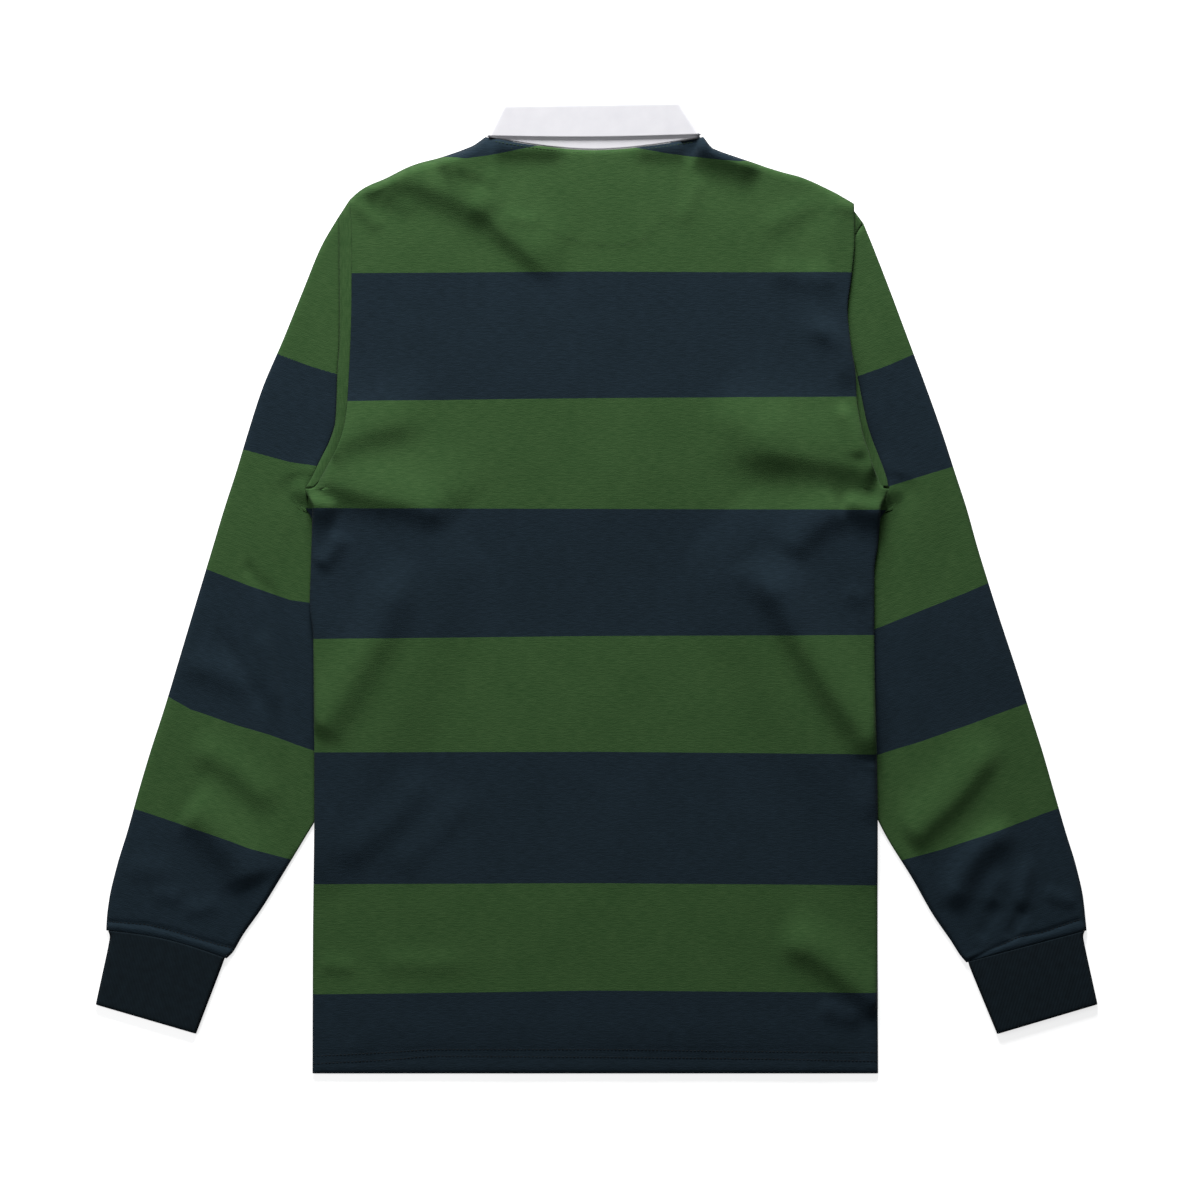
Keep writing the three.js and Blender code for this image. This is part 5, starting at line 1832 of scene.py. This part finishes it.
class Shirt:
    def __init__(self) -> None:
        """Builds the finishes."""
        self.jersey = JerseyFinish().build()
        self.rib = RibFinish().build()
        self.drill = DrillFinish().build()
        self.green_thread = GREEN_THREAD.build()
        self.navy_thread = NAVY_THREAD.build()
        self.white_thread = WHITE_THREAD.build()
        self.rubber = RUBBER.build()
        self.sewing = Sewing()

    def dress(
        self, piece: bpy.types.Object, material: bpy.types.Material, slot: str, *nodes: str
    ) -> bpy.types.Object:
        """Gives a piece its finish, hangs it on the root body and hides the solids that it replaces.

        Args:
            piece: the piece.
            material: its material.
            slot: the record's material slot; not used.
            nodes: the solids that it replaces.

        Returns:
            The same piece.
        """
        piece.data.materials.clear()
        piece.data.materials.append(material)
        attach(piece, "root")
        if nodes:
            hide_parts(*nodes)
        LOG.info("%s: %d faces", piece.name, len(piece.data.polygons))
        return piece

    def sheet(
        self, piece: bpy.types.Object, flat: tuple[float, float], area: float, rests_on: Sequence[str] = ()
    ) -> None:
        """Takes a piece and the sizes of its cut, and does nothing with them.

        Args:
            piece: the piece; not used.
            flat: width and length of its cut in metres, all round on a tube; not used.
            area: area of the cut in square metres; not used.
            rests_on: what it lies on; not used.
        """

    def build_body(self) -> None:
        """Builds the two panels."""
        body = Body()
        back = self.dress(body.back(), self.jersey, "jersey_striped", "back")
        front = self.dress(body.front(), self.jersey, "jersey_striped", "front")
        self.sheet(back, (0.458, 0.748), 0.319, [front.name])
        self.sheet(front, (0.456, 0.748), 0.300)

    def build_sleeves(self) -> None:
        """Builds the sleeves, bands and cuffs."""
        for side in Side:
            name = side.name.lower()
            sleeve = self.dress(Sleeve(side).build(), self.jersey, "jersey_striped", f"sleeve_{name}")
            self.sheet(sleeve, (0.46, 0.60), 0.129)
            band = self.dress(ArmholeBand(side).build(), self.jersey, "jersey_green", f"armhole_band_{name}")
            self.sheet(band, (0.46, 0.010), 0.0044)
            cuff = self.dress(Cuff(side).build(), self.rib, "rib_navy", f"cuff_{name}")
            self.sheet(cuff, (0.184, 0.060), 0.0110)

    def build_collar(self) -> None:
        """Builds the stand, the leaf, the placket and the buttons' finish."""
        collar = Collar()
        stand = self.dress(collar.stand(), self.drill, "drill_white", "collar_stand")
        leaf = self.dress(collar.leaf(), self.drill, "drill_white", "collar_leaf")
        strip = self.dress(Placket().strip(), self.drill, "drill_white", "placket")
        self.sheet(stand, (0.42, 0.038), 0.0114)
        self.sheet(leaf, (0.46, 0.068), 0.0129, [stand.name])
        self.sheet(strip, (0.030, 0.170), 0.0051)
        for name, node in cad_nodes().items():
            if name.startswith("button"):
                node.data.materials.clear()
                node.data.materials.append(self.rubber)

    def on_back(self, line: Sequence[Place], lift: float = 0.1) -> Floats:
        """Lays a line on the back panel.

        Args:
            line: places across and down.
            lift: height above the cloth.

        Returns:
            Places across, down and up.
        """
        keys = np.arange(len(line))
        smoothed = evenly(steady_curve(keys, line, np.linspace(0, len(line) - 1, 12 * len(line))), 300)
        x, down = smoothed.T
        return np.stack([x, down, LAY.back(x, down) + JERSEY / 2 + lift], axis=1)

    def sew(self) -> None:
        """Lays the rows of stitches."""
        moon = self.on_back(HALF_MOON, 0.05)
        neck_x = np.linspace(-80, 76, 100)
        necks = [self.on_back(list(zip(neck_x, CUT.back_neck(neck_x) + drop)), 0.0) for drop in (2.2,)]
        green = self.sewing.lay("sewing_half_moon", [moon, *necks], self.green_thread)
        hem = self.sewing.lay("sewing_hem", [self.on_back(line, -0.15) for line in HEM_SEWING], self.navy_thread)
        rows = []
        for side in Side:
            line = np.array(CUFF_SEWING[side])
            keys = np.arange(len(line))
            x, down = evenly(steady_curve(keys, line, np.linspace(0, len(line) - 1, 60)), 80).T
            rows.append(np.stack([x, down, LAY.sleeve_upper(side, x, down) + JERSEY / 2 - 0.7], axis=1))
        cuffs = self.sewing.lay("sewing_cuffs", rows, self.navy_thread)
        for piece, slot in ((green, "jersey_green"), (hem, "jersey_striped"), (cuffs, "rib_navy")):
            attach(piece, "root")


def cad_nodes() -> dict[str, bpy.types.Object]:
    """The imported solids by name."""
    return FRAME["nodes"]


@dataclass
class Studio:
    """Floor, lights and the camera straight above the shirt."""

    frame_width: float = 0.96           # width of the surface that the picture shows
    centre: tuple[float, float] = (0.0027, -0.0098)
    height: float = 4.0
    sensor: float = 36.0

    def build(self) -> None:
        """Sets up the floor, the lights and the camera."""
        self.floor()
        self.camera()
        bpy.context.scene.view_settings.view_transform = "Standard"
        self.lights()
        world = bpy.data.worlds.new("studio")
        world.use_nodes = True
        background = world.node_tree.nodes["Background"]
        background.inputs["Color"].default_value = linear("#F4F6FA")
        background.inputs["Strength"].default_value = 0.13
        bpy.context.scene.world = world

    def floor(self) -> None:
        """Lays the pale floor just under the shirt."""
        mesh = bpy.data.meshes.new("floor")
        reach = 6.0
        mesh.from_pydata(
            [(-reach, -reach, -0.0002), (reach, -reach, -0.0002), (reach, reach, -0.0002), (-reach, reach, -0.0002)],
            [], [(0, 1, 2, 3)],
        )
        floor = bpy.data.objects.new("floor", mesh)
        bpy.context.scene.collection.objects.link(floor)
        floor.data.materials.append(FLOOR.build())
        floor.visible_diffuse = False
        floor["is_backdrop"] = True

    def camera(self) -> None:
        """Hangs the camera over the shirt with the photograph's frame."""
        data = bpy.data.cameras.new("camera")
        data.sensor_width = self.sensor
        data.sensor_fit = "HORIZONTAL"
        data.lens = self.sensor * self.height / self.frame_width
        camera = bpy.data.objects.new("camera", data)
        camera.location = (*self.centre, self.height)
        bpy.context.scene.collection.objects.link(camera)
        bpy.context.scene.camera = camera

    def hang(self, data: bpy.types.Light, place: Sequence[float], aim: Sequence[float], power: float) -> None:
        """Hangs a lamp and turns it towards a place.

        Args:
            data: the lamp's settings.
            place: where it hangs, in metres.
            aim: the place that it lights most.
            power: its power in watts.
        """
        data.energy = power
        lamp = bpy.data.objects.new(data.name, data)
        lamp.location = place
        lamp.rotation_euler = (Vector(aim) - Vector(place)).to_track_quat("-Z", "Y").to_euler()
        bpy.context.scene.collection.objects.link(lamp)

    def lights(self) -> None:
        """Hangs a low key light beyond the collar, which draws the creases."""
        key = bpy.data.lights.new("key", "AREA")
        key.size = 0.8
        self.hang(key, (-0.1, 2.05, 0.76), (0, 0, 0), 75)
        side = bpy.data.lights.new("side", "AREA")
        side.size = 0.6
        self.hang(side, (-1.15, 0.0, 1.0), (0, -0.05, 0), 4.2)


FRAME: dict = {}


def corners(box: Sequence) -> list[list[float]]:
    """A box's corners as plain numbers."""
    return [[float(value) for value in corner] for corner in box]


def main() -> None:
    """Builds the shirt over its frame."""
    logging.basicConfig(level=logging.INFO, format="%(name)s %(message)s")
    FRAME.update(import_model())
    solid_box = corners(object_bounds())
    shirt = Shirt()
    shirt.build_body()
    shirt.build_sleeves()
    shirt.build_collar()
    shirt.sew()
    Studio().build()
    {"solids": solid_box, "dressed": corners(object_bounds())}


if __name__ == "__main__":
    main()
